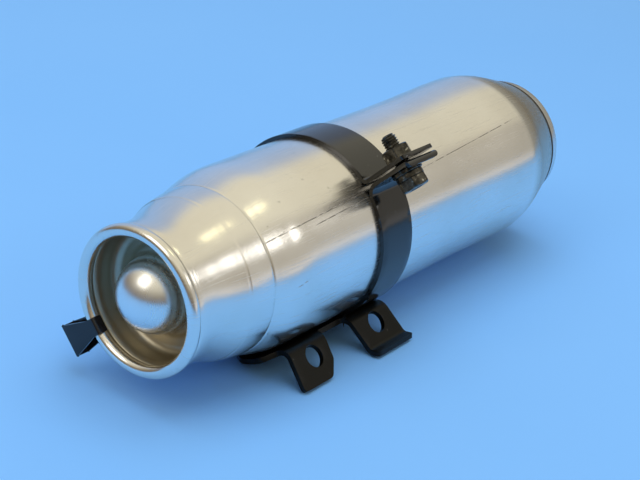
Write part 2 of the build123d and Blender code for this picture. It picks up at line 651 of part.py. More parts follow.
NODES = {
    "canister_shell": canister_shell,
    "end_dish": end_dish,
    "neck_collar": neck_collar,
    "rim_clip": rim_clip,
    "head": head,
    "head_seal": lambda: ring(SHELL_END, HEAD_START, THREAD_R + 0.1, SEAL_R),
    "standpipe": standpipe,
    "inlet_screen": inlet_screen,
    "valve_seat": valve_seat,
    "valve_cage": valve_cage,
    "valve_ball": lambda: in_inlet(Pos(ball_centre(), 0, 0) * Sphere(BALL_R)),
    "valve_spring": valve_spring,
    "centre_tube": lambda: perforated(TUBE_R - TUBE_WALL, TUBE_R, *TUBE_HOLES),
    "pleated_media": pleated_media,
    "media_wrap": lambda: perforated(WRAP_R - WRAP_SHEET, WRAP_R, *WRAP_HOLES),
    "near_end_cap": near_end_cap,
    "head_end_cap": head_end_cap,
    "grommet": grommet,
    "spring_seat": spring_seat,
    "element_spring": element_spring,
    "clamp_band": clamp_band,
    "clamp_screw": clamp_screw,
    "clamp_nut": clamp_nut,
    "flat_washer": flat_washer,
    "spring_washer": spring_washer,
    "bracket": bracket,
}

os.makedirs("parts", exist_ok=True)
for name, build in NODES.items():
    solid = Pos(-HEAD_END, 0, 0) * build()
    pieces = solid.solids()
    print(name, len(pieces), round(sum(p.volume for p in pieces), 1), all(p.is_valid for p in pieces))
    export_step(solid, f"parts/{name}.step")
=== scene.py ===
"""Looks for the fuel filter: meshes, materials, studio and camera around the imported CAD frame."""
import math

import bmesh
import bpy
import numpy as np
from mathutils import Matrix, Vector, noise


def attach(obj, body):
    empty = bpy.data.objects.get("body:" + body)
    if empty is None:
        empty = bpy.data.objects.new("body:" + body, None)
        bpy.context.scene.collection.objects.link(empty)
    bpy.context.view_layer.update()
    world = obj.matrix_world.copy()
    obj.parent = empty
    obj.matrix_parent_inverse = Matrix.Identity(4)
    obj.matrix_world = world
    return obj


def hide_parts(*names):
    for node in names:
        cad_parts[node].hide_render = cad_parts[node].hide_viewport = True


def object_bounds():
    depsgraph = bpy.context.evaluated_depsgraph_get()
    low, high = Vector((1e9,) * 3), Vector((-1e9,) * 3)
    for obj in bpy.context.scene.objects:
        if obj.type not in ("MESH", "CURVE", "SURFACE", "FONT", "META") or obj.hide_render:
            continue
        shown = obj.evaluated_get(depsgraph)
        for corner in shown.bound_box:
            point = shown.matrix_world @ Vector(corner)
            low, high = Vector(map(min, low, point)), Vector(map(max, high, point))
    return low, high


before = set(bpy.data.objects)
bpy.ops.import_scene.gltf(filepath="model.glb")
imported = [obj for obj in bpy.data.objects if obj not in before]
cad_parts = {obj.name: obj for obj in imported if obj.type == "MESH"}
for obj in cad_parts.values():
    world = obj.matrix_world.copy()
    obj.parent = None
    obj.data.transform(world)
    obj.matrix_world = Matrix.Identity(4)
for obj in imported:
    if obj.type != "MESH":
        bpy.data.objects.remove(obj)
cad_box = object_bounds()

MM = 0.001
TAU = 2 * math.pi

# Driving sizes, in millimetres, the same as the CAD part's. Stations run from the rim plane to the head.
HEAD_END = 241.6
BODY_R, SWELL_R, WALL = 35.0, 36.0, 1.5
BEAD_R, BEAD_RING_R, NECK_R = 2.3, 25.1, 26.35
SHELL_END, SHELL_END_R, COLLAR_BORE_R = 235.0, 28.2, 26.5
SHOULDER_NEAR = [(11.0, 26.4), (17.0, 27.0), (21.8, 28.3), (26.5, 30.0)]
STRIP = [(26.5, 30.0), (31.8, 31.0), (37.1, 31.5)]
SHOULDER_MID = [(37.1, 31.5), (43.0, 33.4), (48.5, 34.6), (55.5, BODY_R)]
SWELL = [(150.0, BODY_R), (178.0, 35.45), (202.0, SWELL_R)]
SHOULDER_FAR = [(207.0, SWELL_R), (214.0, 34.9), (222.0, 32.6), (230.0, 30.0), (SHELL_END, SHELL_END_R)]
DOME_R, DOME_CENTRE, DOME_FOOT_R = 14.0, 11.5, 4.5
DISH_WALL_R, DISH_CORNER_R, DISH_SHEET, DISH_START = 23.6, 3.5, 1.2, 4.95
CLIP_ANGLE, CLIP_SHEET, CLIP_PLAY, CLIP_BEND_R = -135.7, 0.8, 0.06, 0.8
CLIP_TOP_R, CLIP_TOP_WIDTH, CLIP_WAIST_R, CLIP_WAIST_WIDTH = 39.2, 12.0, 25.5, 6.2
CLIP_BACK_WIDTH, CLIP_LIP_WIDTH, CLIP_LIP_R, CLIP_LIP_END = 9.0, 6.0, 22.5, 3.2
BAND0, BAND1, BAND_SHEET, BAND_BORE_R = 93.3, 112.0, 1.5, 35.05
EAR_ANGLE, EAR_GAP, EAR_TIP, EAR_CORNER_R, BOLT_HEIGHT = 47.5, 1.0, 58.0, 2.2, 48.6
UPPER_BEND_R, LOWER_BEND_R, EAR_LIP_BEND_R, EAR_LIP_RUN = 2.0, 5.0, 0.85, 1.1
SCREW_LENGTH, SCREW_R, SCREW_ROOT_R, SCREW_PITCH, SCREW_HEAD = 18.0, 2.95, 2.45, 1.0, 4.0
HEX_FLATS, NUT_HEIGHT, WASHER_R, WASHER_BORE_R, WASHER_THICK = 10.0, 5.0, 6.0, 3.25, 1.6
SPRING_WASHER_R, SPRING_WASHER_HEIGHT = 5.35, 2.2
TAB_ANGLE, SADDLE_FAR_ANGLE, PLATE, TAB_BEND_R = -45.0, -132.0, 2.0, 4.0
SADDLE_R = BAND_BORE_R + BAND_SHEET + 0.02 + PLATE / 2
SADDLE0, SADDLE1, NOSE_ANGLES, NOSE_BACK = 47.5, 113.0, (-72.0, -100.0), 62.0
TAB_HOLE_R, TAB_HOLE_HEIGHT, TAB_HOLES = 4.25, 44.4, (64.4, 103.4)
SEAL_THICK, SEAL_R, THREAD_R, THREAD_START = 1.3, 27.75, 24.0, 223.9
HEAD_START, HEAD_R, HEAD_EDGE = SHELL_END + SEAL_THICK, 27.2, 0.9
PORT_R, PORT_DEPTH, INLET_DEPTH, INLET_OFFSET = 5.25, 12.0, 10.0, 15.0
SPANNER_HOLE_R, SPANNER_HOLE_DEPTH, SPANNER_HOLE_RING = 2.5, 4.0, 20.0
HEAD_PITCH, HEAD_THREAD_DEPTH, PORT_PITCH = 1.5, 0.85, 1.5
PIPE_R, PIPE_SOCKET_END, VALVE_POCKET_END, INLET_DRILL_R = 6.0, 228.4, 230.4, 4.0


# ---------------------------------------------------------------- geometry helpers
def radial(angle):
    """Unit vector away from the axis at an angle from -Y towards +Z."""
    a = math.radians(angle)
    return Vector((0, -math.cos(a), math.sin(a)))


def tangent(angle):
    """Unit vector round the axis, towards more angle."""
    a = math.radians(angle)
    return Vector((0, math.sin(a), math.cos(a)))


def new_object(name, verts, faces, material, smooth_angle=35):
    """Mesh object from vertices in metres, shaded smooth below an angle."""
    mesh = bpy.data.meshes.new(name)
    mesh.from_pydata([tuple(v) for v in verts], [], faces)
    mesh.validate()
    obj = bpy.data.objects.new(name, mesh)
    bpy.context.scene.collection.objects.link(obj)
    bm = bmesh.new()
    bm.from_mesh(mesh)
    bmesh.ops.recalc_face_normals(bm, faces=bm.faces)
    bm.to_mesh(mesh)
    bm.free()
    mesh.shade_smooth()
    mesh.set_sharp_from_angle(angle=math.radians(smooth_angle))
    mesh.materials.append(material)
    return obj


def spline(points, slope0, slope1, step):
    """Clamped cubic through (x, r) points, sampled about every step along x."""
    x = np.array([p[0] for p in points], float)
    r = np.array([p[1] for p in points], float)
    n = len(x)
    h = np.diff(x)
    a = np.zeros((n, n))
    b = np.zeros(n)
    a[0, 0] = a[-1, -1] = 1
    b[0], b[-1] = slope0, slope1
    for i in range(1, n - 1):
        a[i, i - 1], a[i, i], a[i, i + 1] = h[i], 2 * (h[i - 1] + h[i]), h[i - 1]
        b[i] = 3 * (h[i] * (r[i] - r[i - 1]) / h[i - 1] + h[i - 1] * (r[i + 1] - r[i]) / h[i])
    m = np.linalg.solve(a, b)
    out = []
    for i in range(n - 1):
        count = max(2, int(round(h[i] / step)))
        for t in np.linspace(0, 1, count, endpoint=False):
            r_t = ((2 * t**3 - 3 * t**2 + 1) * r[i] + (t**3 - 2 * t**2 + t) * h[i] * m[i]
                   + (3 * t**2 - 2 * t**3) * r[i + 1] + (t**3 - t**2) * h[i] * m[i + 1])
            out.append((x[i] + t * h[i], r_t))
    out.append((x[-1], r[-1]))
    return out


def arc(cx, cr, radius, a0, a1, step=6):
    """Points along a circular arc in the (station, radius) plane, angles in degrees."""
    count = max(2, int(abs(a1 - a0) / step) + 1)
    return [(cx + radius * math.cos(math.radians(a)), cr + radius * math.sin(math.radians(a)))
            for a in np.linspace(a0, a1, count)]


def rounded(points, radius, steps=4):
    """A closed profile with each corner rounded by up to a radius."""
    out = []
    n = len(points)
    for i in range(n):
        p = np.array(points[i], float)
        a = np.array(points[i - 1], float) - p
        b = np.array(points[(i + 1) % n], float) - p
        la, lb = np.linalg.norm(a), np.linalg.norm(b)
        cut = min(radius, la / 2.2, lb / 2.2)
        p0, p1 = p + a / la * cut, p + b / lb * cut
        for t in np.linspace(0, 1, steps + 1):
            q = (1 - t) ** 2 * p0 + 2 * t * (1 - t) * p + t**2 * p1
            out.append((float(q[0]), float(q[1])))
    return out


def ring_point(x, r, t, centre=(0, 0)):
    """Point in metres at a station, radius and angle about an axis parallel to the canister's."""
    return ((x - HEAD_END) * MM, (centre[0] - r * math.cos(t)) * MM, (centre[1] + r * math.sin(t)) * MM)


def lathe(name, profile, material, segments=192, closed=True, bump=None, centre=(0, 0), smooth_angle=35):
    """Solid of revolution about the canister's axis from (station, radius) points in millimetres."""
    verts, rings = [], []
    for x, r in profile:
        if r < 1e-6:
            rings.append([len(verts)])
            verts.append(((x - HEAD_END) * MM, centre[0] * MM, centre[1] * MM))
            continue
        ring = []
        for k in range(segments):
            t = TAU * k / segments
            rr = r + (bump(x, t) if bump else 0.0)
            ring.append(len(verts))
            verts.append(ring_point(x, rr, t, centre))
        rings.append(ring)
    faces = []
    count = len(rings) if closed else len(rings) - 1
    for i in range(count):
        a, b = rings[i], rings[(i + 1) % len(rings)]
        if len(a) == 1 and len(b) == 1:
            continue
        for k in range(segments):
            k2 = (k + 1) % segments
            if len(a) == 1:
                faces.append((a[0], b[k], b[k2]))
            elif len(b) == 1:
                faces.append((a[k], b[0], a[k2]))
            else:
                faces.append((a[k], b[k], b[k2], a[k2]))
    return new_object(name, verts, faces, material, smooth_angle)


class Track:
    """A run of lines and arcs in a plane, followed by its length; sheets are bent along it."""

    def __init__(self, *pieces):
        self.pieces = pieces
        self.ends = [0.0]
        for p in pieces:
            self.ends.append(self.ends[-1] + self.length(p))

    @staticmethod
    def length(p):
        if p[0] == "line":
            return math.dist(p[1], p[2])
        return abs(math.radians(p[4] - p[3])) * p[2]

    def at(self, s):
        """Point at length s; beyond the ends the last piece goes on straight."""
        i = 0
        while i < len(self.pieces) - 1 and s > self.ends[i + 1]:
            i += 1
        p = self.pieces[i]
        t = (s - self.ends[i]) / (self.ends[i + 1] - self.ends[i])
        if p[0] == "line":
            return (p[1][0] + (p[2][0] - p[1][0]) * t, p[1][1] + (p[2][1] - p[1][1]) * t)
        a = math.radians(p[3] + (p[4] - p[3]) * t)
        return (p[1][0] + p[2] * math.cos(a), p[1][1] + p[2] * math.sin(a))

    def cuts(self, step=3.0):
        """Lengths where the sheet needs an edge across it to bend smoothly."""
        out = []
        for i, p in enumerate(self.pieces):
            n = 1 if p[0] == "line" else max(2, int(abs(p[4] - p[3]) / step))
            out += [self.ends[i] + (self.ends[i + 1] - self.ends[i]) * k / n for k in range(n + 1)]
        return sorted(set(round(v, 5) for v in out))


def corner_arc(a, b, c, radius, steps=5):
    """Rounded corner at b between a and c."""
    pa, pb, pc = Vector(a), Vector(b), Vector(c)
    p0 = pb + (pa - pb).normalized() * radius
    p1 = pb + (pc - pb).normalized() * radius
    return [tuple(p0.lerp(pb, t).lerp(pb.lerp(p1, t), t)) for t in np.linspace(0, 1, steps + 1)]


def rounded_outline(points):
    """Closed outline from (x, s, corner radius) points."""
    out = []
    n = len(points)
    for i, (x, s, r) in enumerate(points):
        if r <= 0:
            out.append((x, s))
        else:
            out += corner_arc(points[i - 1][:2], (x, s), points[(i + 1) % n][:2], r)
    return out


def circle_points(cx, cy, r, count=40):
    return [(cx + r * math.cos(TAU * k / count), cy + r * math.sin(TAU * k / count)) for k in range(count)]


def sheet(name, outline, holes, place, cuts, thickness, material, bevel=0.25, wobble=0.0):
    """Sheet metal: a flat outline with holes, cut across at the bends, bent by place(), then thickened."""
    bm = bmesh.new()
    for loop in [outline] + holes:
        vs = [bm.verts.new((p[0], p[1], 0)) for p in loop]
        for i in range(len(vs)):
            bm.edges.new((vs[i - 1], vs[i]))
    bmesh.ops.triangle_fill(bm, edges=bm.edges[:], use_beauty=True, use_dissolve=False)
    for s in cuts:
        geom = bm.verts[:] + bm.edges[:] + bm.faces[:]
        bmesh.ops.bisect_plane(bm, geom=geom, dist=1e-4, plane_co=(0, s, 0), plane_no=(0, 1, 0))
    lo = min(p[0] for p in outline)
    hi = max(p[0] for p in outline)
    for x in np.arange(lo + 4, hi, 4.0):
        geom = bm.verts[:] + bm.edges[:] + bm.faces[:]
        bmesh.ops.bisect_plane(bm, geom=geom, dist=1e-4, plane_co=(float(x), 0, 0), plane_no=(1, 0, 0))
    bmesh.ops.remove_doubles(bm, verts=bm.verts[:], dist=1e-3)
    for v in bm.verts:
        v.co = place(v.co.x, v.co.y)
    bmesh.ops.recalc_face_normals(bm, faces=bm.faces[:])
    mesh = bpy.data.meshes.new(name)
    bm.to_mesh(mesh)
    bm.free()
    mesh.materials.append(material)
    obj = bpy.data.objects.new(name, mesh)
    bpy.context.scene.collection.objects.link(obj)
    solid = obj.modifiers.new("thickness", "SOLIDIFY")
    solid.thickness = thickness * MM
    solid.offset = 0.0
    solid.use_even_offset = True
    edge = obj.modifiers.new("edges", "BEVEL")
    edge.width = bevel * MM
    edge.segments = 3
    edge.limit_method = "ANGLE"
    edge.angle_limit = math.radians(50)
    edge.use_clamp_overlap = True
    edge.harden_normals = False
    apply_modifiers(obj)
    obj.data.shade_smooth()
    obj.data.set_sharp_from_angle(angle=math.radians(50))
    return obj


def apply_modifiers(obj):
    """Bakes an object's modifiers into its mesh."""
    deps = bpy.context.evaluated_depsgraph_get()
    mesh = bpy.data.meshes.new_from_object(obj.evaluated_get(deps))
    old = obj.data
    obj.modifiers.clear()
    obj.data = mesh
    bpy.data.meshes.remove(old)


def cut(obj, tools, operation="DIFFERENCE"):
    """Boolean of an object with temporary tool objects."""
    for tool in tools:
        mod = obj.modifiers.new("cut", "BOOLEAN")
        mod.operation = operation
        mod.solver = "EXACT"
        mod.object = tool
    apply_modifiers(obj)
    for tool in tools:
        bpy.data.objects.remove(tool)
    obj.data.shade_smooth()
    obj.data.set_sharp_from_angle(angle=math.radians(35))


# ---------------------------------------------------------------- material helpers
class Paint:
    """One node material, with short calls for the nodes it is built from."""

    def __init__(self, name):
        self.mat = bpy.data.materials.new(name)
        self.mat.use_nodes = True
        self.tree = self.mat.node_tree
        self.bsdf = self.tree.nodes["Principled BSDF"]
        self.coords = self.tree.nodes.new("ShaderNodeTexCoord").outputs["Object"]

    def node(self, kind, out, inputs=None, **props):
        node = self.tree.nodes.new(kind)
        for key, value in props.items():
            setattr(node, key, value)
        for key, value in (inputs or {}).items():
            self.put(node.inputs[key], value)
        return node.outputs[out]

    def put(self, socket, value):
        if isinstance(value, bpy.types.NodeSocket):
            self.tree.links.new(value, socket)
        else:
            socket.default_value = value

    def math(self, op, a, b=0.0, c=0.0, clamp=False):
        return self.node("ShaderNodeMath", 0, {0: a, 1: b, 2: c}, operation=op, use_clamp=clamp)

    def stretch(self, scale, source=None):
        return self.node("ShaderNodeMapping", 0, {"Vector": source or self.coords, "Scale": scale})

    def noise(self, vector, scale, detail=4.0, rough=0.55):
        return self.node("ShaderNodeTexNoise", 0,
                         {"Vector": vector, "Scale": scale, "Detail": detail, "Roughness": rough})

    def ramp(self, value, low, high, out_low=0.0, out_high=1.0):
        return self.node("ShaderNodeMapRange", 0,
                         {0: value, 1: low, 2: high, 3: out_low, 4: out_high}, clamp=True)

    def mix(self, factor, a, b):
        node = self.tree.nodes.new("ShaderNodeMix")
        node.data_type = "RGBA"
        self.put(node.inputs[0], factor)
        self.put(node.inputs[6], a)
        self.put(node.inputs[7], b)
        return node.outputs[2]

    def cylinder(self):
        """(x in mm from the rim plane, angle in radians) of the shaded point."""
        split = self.tree.nodes.new("ShaderNodeSeparateXYZ")
        self.put(split.inputs[0], self.coords)
        x = self.math("MULTIPLY_ADD", split.outputs[0], 1000.0, HEAD_END)
        back = self.math("MULTIPLY", split.outputs[1], -1.0)
        angle = self.math("ARCTAN2", split.outputs[2], back)
        return x, angle

    def around(self, x_scale, angle_scale, offset=0.0):
        """Texture vector on the unrolled cylinder."""
        x, angle = self.cylinder()
        along, round_it = self.math("MULTIPLY", x, x_scale), self.math("MULTIPLY", angle, angle_scale)
        return self.node("ShaderNodeCombineXYZ", 0, {0: along, 1: round_it, 2: offset})

    def axis_distance(self):
        """Distance in metres of the shaded point from the canister's axis."""
        split = self.tree.nodes.new("ShaderNodeSeparateXYZ")
        self.put(split.inputs[0], self.coords)
        y2, z2 = (self.math("POWER", split.outputs[i], 2.0) for i in (1, 2))
        return self.math("SQRT", self.math("ADD", y2, z2))

    def weigh(self, a, weight_a, b, weight_b):
        """Weighted sum of two values."""
        return self.math("ADD", self.math("MULTIPLY", a, weight_a), self.math("MULTIPLY", b, weight_b))

    def bump(self, height, strength, distance=0.0002, normal=None):
        inputs = {"Height": height, "Strength": strength, "Distance": distance}
        if normal is not None:
            inputs["Normal"] = normal
        return self.node("ShaderNodeBump", 0, inputs)

    def finish(self, colour, metallic, roughness, normal=None, **extra):
        self.put(self.bsdf.inputs["Base Color"], colour)
        self.put(self.bsdf.inputs["Metallic"], metallic)
        self.put(self.bsdf.inputs["Roughness"], roughness)
        if normal is not None:
            self.put(self.bsdf.inputs["Normal"], normal)
        for key, value in extra.items():
            self.put(self.bsdf.inputs[key.replace("_", " ")], value)
        return self.mat


def line_mask(p, x, angle, start, end, half_width, soft=0.6):
    """1 on a straight scratch between two (station, degrees) points on the barrel."""
    (x0, a0), (x1, a1) = start, end
    slope = math.radians(a1 - a0) / (x1 - x0)
    middle = p.math("MULTIPLY_ADD", p.math("SUBTRACT", x, x0), slope, math.radians(a0))
    off = p.math("ABSOLUTE", p.math("SUBTRACT", angle, middle))
    across = p.ramp(off, half_width / BODY_R, half_width * (1 + soft) / BODY_R, 1.0, 0.0)
    ends = p.math("MULTIPLY", p.ramp(x, x0, x0 + 3.0), p.ramp(x, x1 - 3.0, x1, 1.0, 0.0))
    return p.math("MULTIPLY", across, ends)


def drawn_aluminium():
    """Satin drawn aluminium: fine lengthwise lines, spin rings on the shoulder, scratches and pits, and a
    painted dark reflection on the far cone.
    """
    p = Paint("drawn_aluminium")
    x, angle = p.cylinder()
    cloud = p.noise(p.coords, 28.0, 5.0)
    fine_long = p.noise(p.around(0.02, 90.0), 6.0, 6.0, 0.7)
    spin = p.noise(p.around(4.0, 0.15, 3.0), 2.0, 5.0, 0.65)
    shoulder = p.math("MULTIPLY", p.ramp(x, 2.0, 8.0), p.ramp(x, 40.0, 52.0, 1.0, 0.0))
    grain = p.noise(p.coords, 900.0, 3.0)
    long_scratch = line_mask(p, x, angle, (36.0, 41.0), (93.0, 45.0), 0.16)
    second = line_mask(p, x, angle, (60.0, 38.6), (93.0, 41.2), 0.10)
    third = line_mask(p, x, angle, (116.0, 43.0), (200.0, 50.0), 0.10)
    short = line_mask(p, x, angle, (45.0, 8.0), (52.0, 11.0), 0.12)
    broken = p.ramp(p.noise(p.around(0.25, 30.0, 7.0), 1.5, 3.0), 0.38, 0.52)
    marks = p.math("MAXIMUM", p.math("MAXIMUM", long_scratch, second), p.math("MAXIMUM", third, short))
    marks = p.math("MULTIPLY", marks, broken)
    hairs = p.ramp(p.noise(p.around(0.035, 150.0, 11.0), 1.6, 2.0, 0.4), 0.66, 0.72)
    cross = p.ramp(p.noise(p.around(0.9, 6.0, 19.0), 1.3, 2.0, 0.4), 0.71, 0.76)
    pits = p.ramp(p.noise(p.coords, 420.0, 1.0), 0.74, 0.80)
    warm = p.mix(p.ramp(cloud, 0.35, 0.7), (0.83, 0.80, 0.745, 1), (0.90, 0.885, 0.85, 1))
    wear_and_cone_shade = p.mix(p.math("MULTIPLY", hairs, 0.25), warm, (0.55, 0.53, 0.50, 1))
    wear_and_cone_shade = p.mix(p.math("MULTIPLY", pits, 0.35), wear_and_cone_shade, (0.45, 0.43, 0.40, 1))
    # Painted reflection: the far-end cone's colour is darkened towards brown to stand in for the dark
    # surroundings it reflects; the same mask also roughens the cone.
    cone = p.ramp(x, 206.0, 215.0)
    wear_and_cone_shade = p.mix(p.math("MULTIPLY", cone, 0.9), wear_and_cone_shade, (0.44, 0.37, 0.27, 1))
    colour = p.mix(p.math("MULTIPLY", marks, 0.85), wear_and_cone_shade, (0.16, 0.14, 0.12, 1))
    barrel = p.math("MULTIPLY", p.ramp(x, 50.0, 60.0), p.ramp(x, 196.0, 204.0, 1.0, 0.0))
    rough = p.math("MULTIPLY_ADD", barrel, 0.04, p.ramp(cloud, 0.3, 0.75, 0.13, 0.18))
    rough = p.math("MULTIPLY_ADD", cone, 0.10, p.math("MULTIPLY_ADD", fine_long, 0.05, rough))
    rough = p.math("MULTIPLY_ADD", hairs, 0.12, rough)
    rough = p.math("MULTIPLY_ADD", marks, 0.30, rough, clamp=True)
    height = p.math("MULTIPLY", fine_long, 0.25)
    height = p.math("MULTIPLY_ADD", p.math("MULTIPLY", spin, shoulder), 0.9, height)
    height = p.math("MULTIPLY_ADD", grain, 0.10, height)
    height = p.math("SUBTRACT", height, p.math("MULTIPLY", marks, 1.2))
    height = p.math("SUBTRACT", height, p.math("MULTIPLY", p.math("ADD", hairs, cross), 0.25))
    height = p.math("SUBTRACT", height, p.math("MULTIPLY", pits, 0.5))
    normal = p.bump(height, 0.22, 0.00012)
    lines = p.node("ShaderNodeTangent", 0, direction_type="RADIAL", axis="X")
    return p.finish(colour, 1.0, rough, normal, Anisotropic=p.math("MULTIPLY", barrel, 0.55),
                    Anisotropic_Rotation=0.25, Tangent=lines)


def polished_aluminium():
    """Polished end: fine spin rings, a little haze, and painted shade in the recess round the dome."""
    p = Paint("polished_aluminium")
    r = p.axis_distance()
    outwards = p.node("ShaderNodeCombineXYZ", 0, {0: p.math("MULTIPLY", r, 2600.0), 1: 0.0, 2: 0.0})
    rings = p.noise(outwards, 1.0, 4.0, 0.7)
    cloud = p.noise(p.coords, 60.0, 4.0)
    smear = p.ramp(cloud, 0.35, 0.75)
    # Painted shade: the recess round the dome is darkened to a dull brown in its colour; the same mask also
    # roughens it.
    recess = p.ramp(r, (DOME_R + 0.5) * MM, (DOME_R + 2.5) * MM)
    colour = p.mix(smear, (0.86, 0.845, 0.81, 1), (0.93, 0.925, 0.91, 1))
    colour = p.mix(recess, colour, (0.44, 0.39, 0.29, 1))
    rough = p.math("MULTIPLY_ADD", rings, 0.06, p.ramp(cloud, 0.3, 0.8, 0.22, 0.30))
    rough = p.math("MULTIPLY_ADD", recess, 0.10, rough)
    height = p.weigh(rings, 0.25, p.noise(p.coords, 1100.0, 2.0), 0.15)
    return p.finish(colour, 1.0, rough, p.bump(height, 0.08, 0.0001))


def machined_aluminium():
    """Turned face: concentric tool marks."""
    p = Paint("machined_aluminium")
    r = p.axis_distance()
    tool = p.math("SINE", p.math("MULTIPLY", r, 18000.0))
    cloud = p.noise(p.coords, 45.0, 4.0)
    colour = p.mix(p.ramp(cloud, 0.3, 0.75), (0.78, 0.77, 0.75, 1), (0.88, 0.88, 0.87, 1))
    rough = p.ramp(cloud, 0.3, 0.8, 0.22, 0.34)
    height = p.math("MULTIPLY_ADD", tool, 0.35, p.math("MULTIPLY", p.noise(p.coords, 900.0, 2.0), 0.3))
    return p.finish(colour, 1.0, rough, p.bump(height, 0.2, 0.00008))


def black_paint(name, base, worn, rough0, rough1, peel, chips, gloss):
    """Satin black paint with orange peel, dust haze, scuffs and a few chips to the metal."""
    p = Paint(name)
    cloud = p.noise(p.coords, 35.0, 5.0)
    speck = p.noise(p.coords, 480.0, 2.0)
    flake = p.ramp(p.noise(p.coords, 190.0, 3.0), chips, chips + 0.02)
    chip = p.math("MULTIPLY", flake, p.ramp(cloud, 0.48, 0.6))
    scuff = p.ramp(p.noise(p.stretch((3.0, 0.6, 0.6)), 240.0, 3.0, 0.6), 0.62, 0.78)
    dusty = p.mix(p.math("MULTIPLY", p.ramp(cloud, 0.4, 0.8), 0.5), base, worn)
    dusty = p.mix(p.math("MULTIPLY", scuff, 0.22), dusty, worn)
    dusty = p.mix(p.math("MULTIPLY", p.ramp(speck, 0.70, 0.78), 0.5), dusty, (0.12, 0.115, 0.10, 1))
    colour = p.mix(chip, dusty, (0.42, 0.40, 0.37, 1))
    rough = p.math("MULTIPLY_ADD", scuff, 0.12, p.ramp(cloud, 0.3, 0.8, rough0, rough1))
    height = p.weigh(p.noise(p.coords, 520.0, 2.0), 0.8, p.noise(p.coords, 2200.0, 1.0), 0.2)
    height = p.math("SUBTRACT", height, chip)
    metal = p.math("MULTIPLY", chip, 0.9)
    return p.finish(colour, metal, rough, p.bump(height, peel, 0.0001), Specular_IOR_Level=gloss)


def oxide_steel():
    """Black oxide fastener with worn bright spots."""
    p = Paint("oxide_steel")
    cloud = p.noise(p.coords, 260.0, 5.0, 0.6)
    wear = p.ramp(p.noise(p.coords, 520.0, 4.0, 0.65), 0.60, 0.72)
    colour = p.mix(p.ramp(cloud, 0.35, 0.75), (0.014, 0.013, 0.010, 1), (0.16, 0.145, 0.115, 1))
    colour = p.mix(p.math("MULTIPLY", wear, 0.8), colour, (0.66, 0.62, 0.50, 1))
    rough = p.ramp(cloud, 0.3, 0.8, 0.16, 0.34)
    height = p.weigh(cloud, 0.6, p.noise(p.coords, 1800.0, 2.0), 0.4)
    return p.finish(colour, 0.75, rough, p.bump(height, 0.3, 0.0001))


def rubber():
    """Black nitrile rubber with a dull bloom."""
    p = Paint("black_rubber")
    cloud = p.noise(p.coords, 150.0, 5.0)
    colour = p.mix(p.ramp(cloud, 0.35, 0.8), (0.010, 0.010, 0.010, 1), (0.035, 0.034, 0.033, 1))
    height = p.noise(p.coords, 1500.0, 3.0)
    return p.finish(colour, 0.0, p.ramp(cloud, 0.3, 0.8, 0.5, 0.68), p.bump(height, 0.3, 0.0001))


def plain_metal(name, low, high, rough0, rough1, scale=300.0):
    """Metal for inner pieces: cloudy colour and fine grain."""
    p = Paint(name)
    cloud = p.noise(p.coords, scale, 5.0)
    colour = p.mix(p.ramp(cloud, 0.3, 0.75), low, high)
    grain = p.bump(p.noise(p.coords, scale * 5, 2.0), 0.2, 0.0001)
    return p.finish(colour, 1.0, p.ramp(cloud, 0.3, 0.8, rough0, rough1), grain)


def plain_soft(name, low, high, scale=400.0, bump=0.4):
    """Paper or plastic for inner pieces: mottled colour, fibrous bump."""
    p = Paint(name)
    cloud = p.noise(p.coords, scale, 5.0, 0.65)
    colour = p.mix(p.ramp(cloud, 0.3, 0.75), low, high)
    fibres = p.bump(p.noise(p.stretch((0.3, 2.0, 2.0)), scale * 3, 3.0), bump, 0.0001)
    return p.finish(colour, 0.0, p.ramp(cloud, 0.3, 0.8, 0.6, 0.85), fibres)


ALUMINIUM = drawn_aluminium()
POLISHED = polished_aluminium()
MACHINED = machined_aluminium()
BAND_PAINT = black_paint("band_paint", (0.004, 0.004, 0.004, 1), (0.013, 0.011, 0.008, 1),
                         0.10, 0.18, peel=0.15, chips=0.80, gloss=0.7)
BRACKET_PAINT = black_paint("bracket_paint", (0.003, 0.003, 0.002, 1), (0.010, 0.008, 0.005, 1),
                            0.26, 0.40, peel=0.35, chips=0.77, gloss=0.18)
CLIP_STEEL = black_paint("clip_steel", (0.004, 0.004, 0.006, 1), (0.012, 0.012, 0.016, 1),
                         0.10, 0.18, peel=0.12, chips=0.80, gloss=0.5)
OXIDE = oxide_steel()
RUBBER = rubber()
ZINC = plain_metal("zinc_steel", (0.45, 0.45, 0.46, 1), (0.66, 0.66, 0.67, 1), 0.25, 0.4)
BRASS = plain_metal("turned_brass", (0.62, 0.45, 0.20, 1), (0.76, 0.60, 0.30, 1), 0.22, 0.36)
BALL = plain_metal("ball_steel", (0.7, 0.7, 0.7, 1), (0.8, 0.8, 0.8, 1), 0.06, 0.12)
NYLON = plain_soft("natural_nylon", (0.74, 0.71, 0.62, 1), (0.82, 0.80, 0.73, 1), 200.0, 0.2)
PAPER = plain_soft("filter_paper", (0.70, 0.58, 0.34, 1), (0.82, 0.72, 0.48, 1))
SLEEVE = plain_soft("sleeve_card", (0.74, 0.72, 0.66, 1), (0.84, 0.83, 0.79, 1))
INNER = {
    "neck_collar": MACHINED, "standpipe": ZINC, "inlet_screen": ZINC, "valve_seat": BRASS,
    "valve_cage": NYLON, "valve_ball": BALL, "valve_spring": ZINC, "centre_tube": ZINC,
    "pleated_media": PAPER, "media_wrap": SLEEVE, "near_end_cap": ZINC, "head_end_cap": ZINC,
    "grommet": RUBBER, "spring_seat": ZINC, "element_spring": ZINC,
}
for node_name, node_material in INNER.items():
    node_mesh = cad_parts[node_name].data
    node_mesh.materials.clear()
    node_mesh.materials.append(node_material)


def stand_for(obj, body, slot, *nodes):
    """The object rides on a body and the CAD nodes it stands for are hidden; the slot is not used."""
    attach(obj, body)
    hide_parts(*nodes)


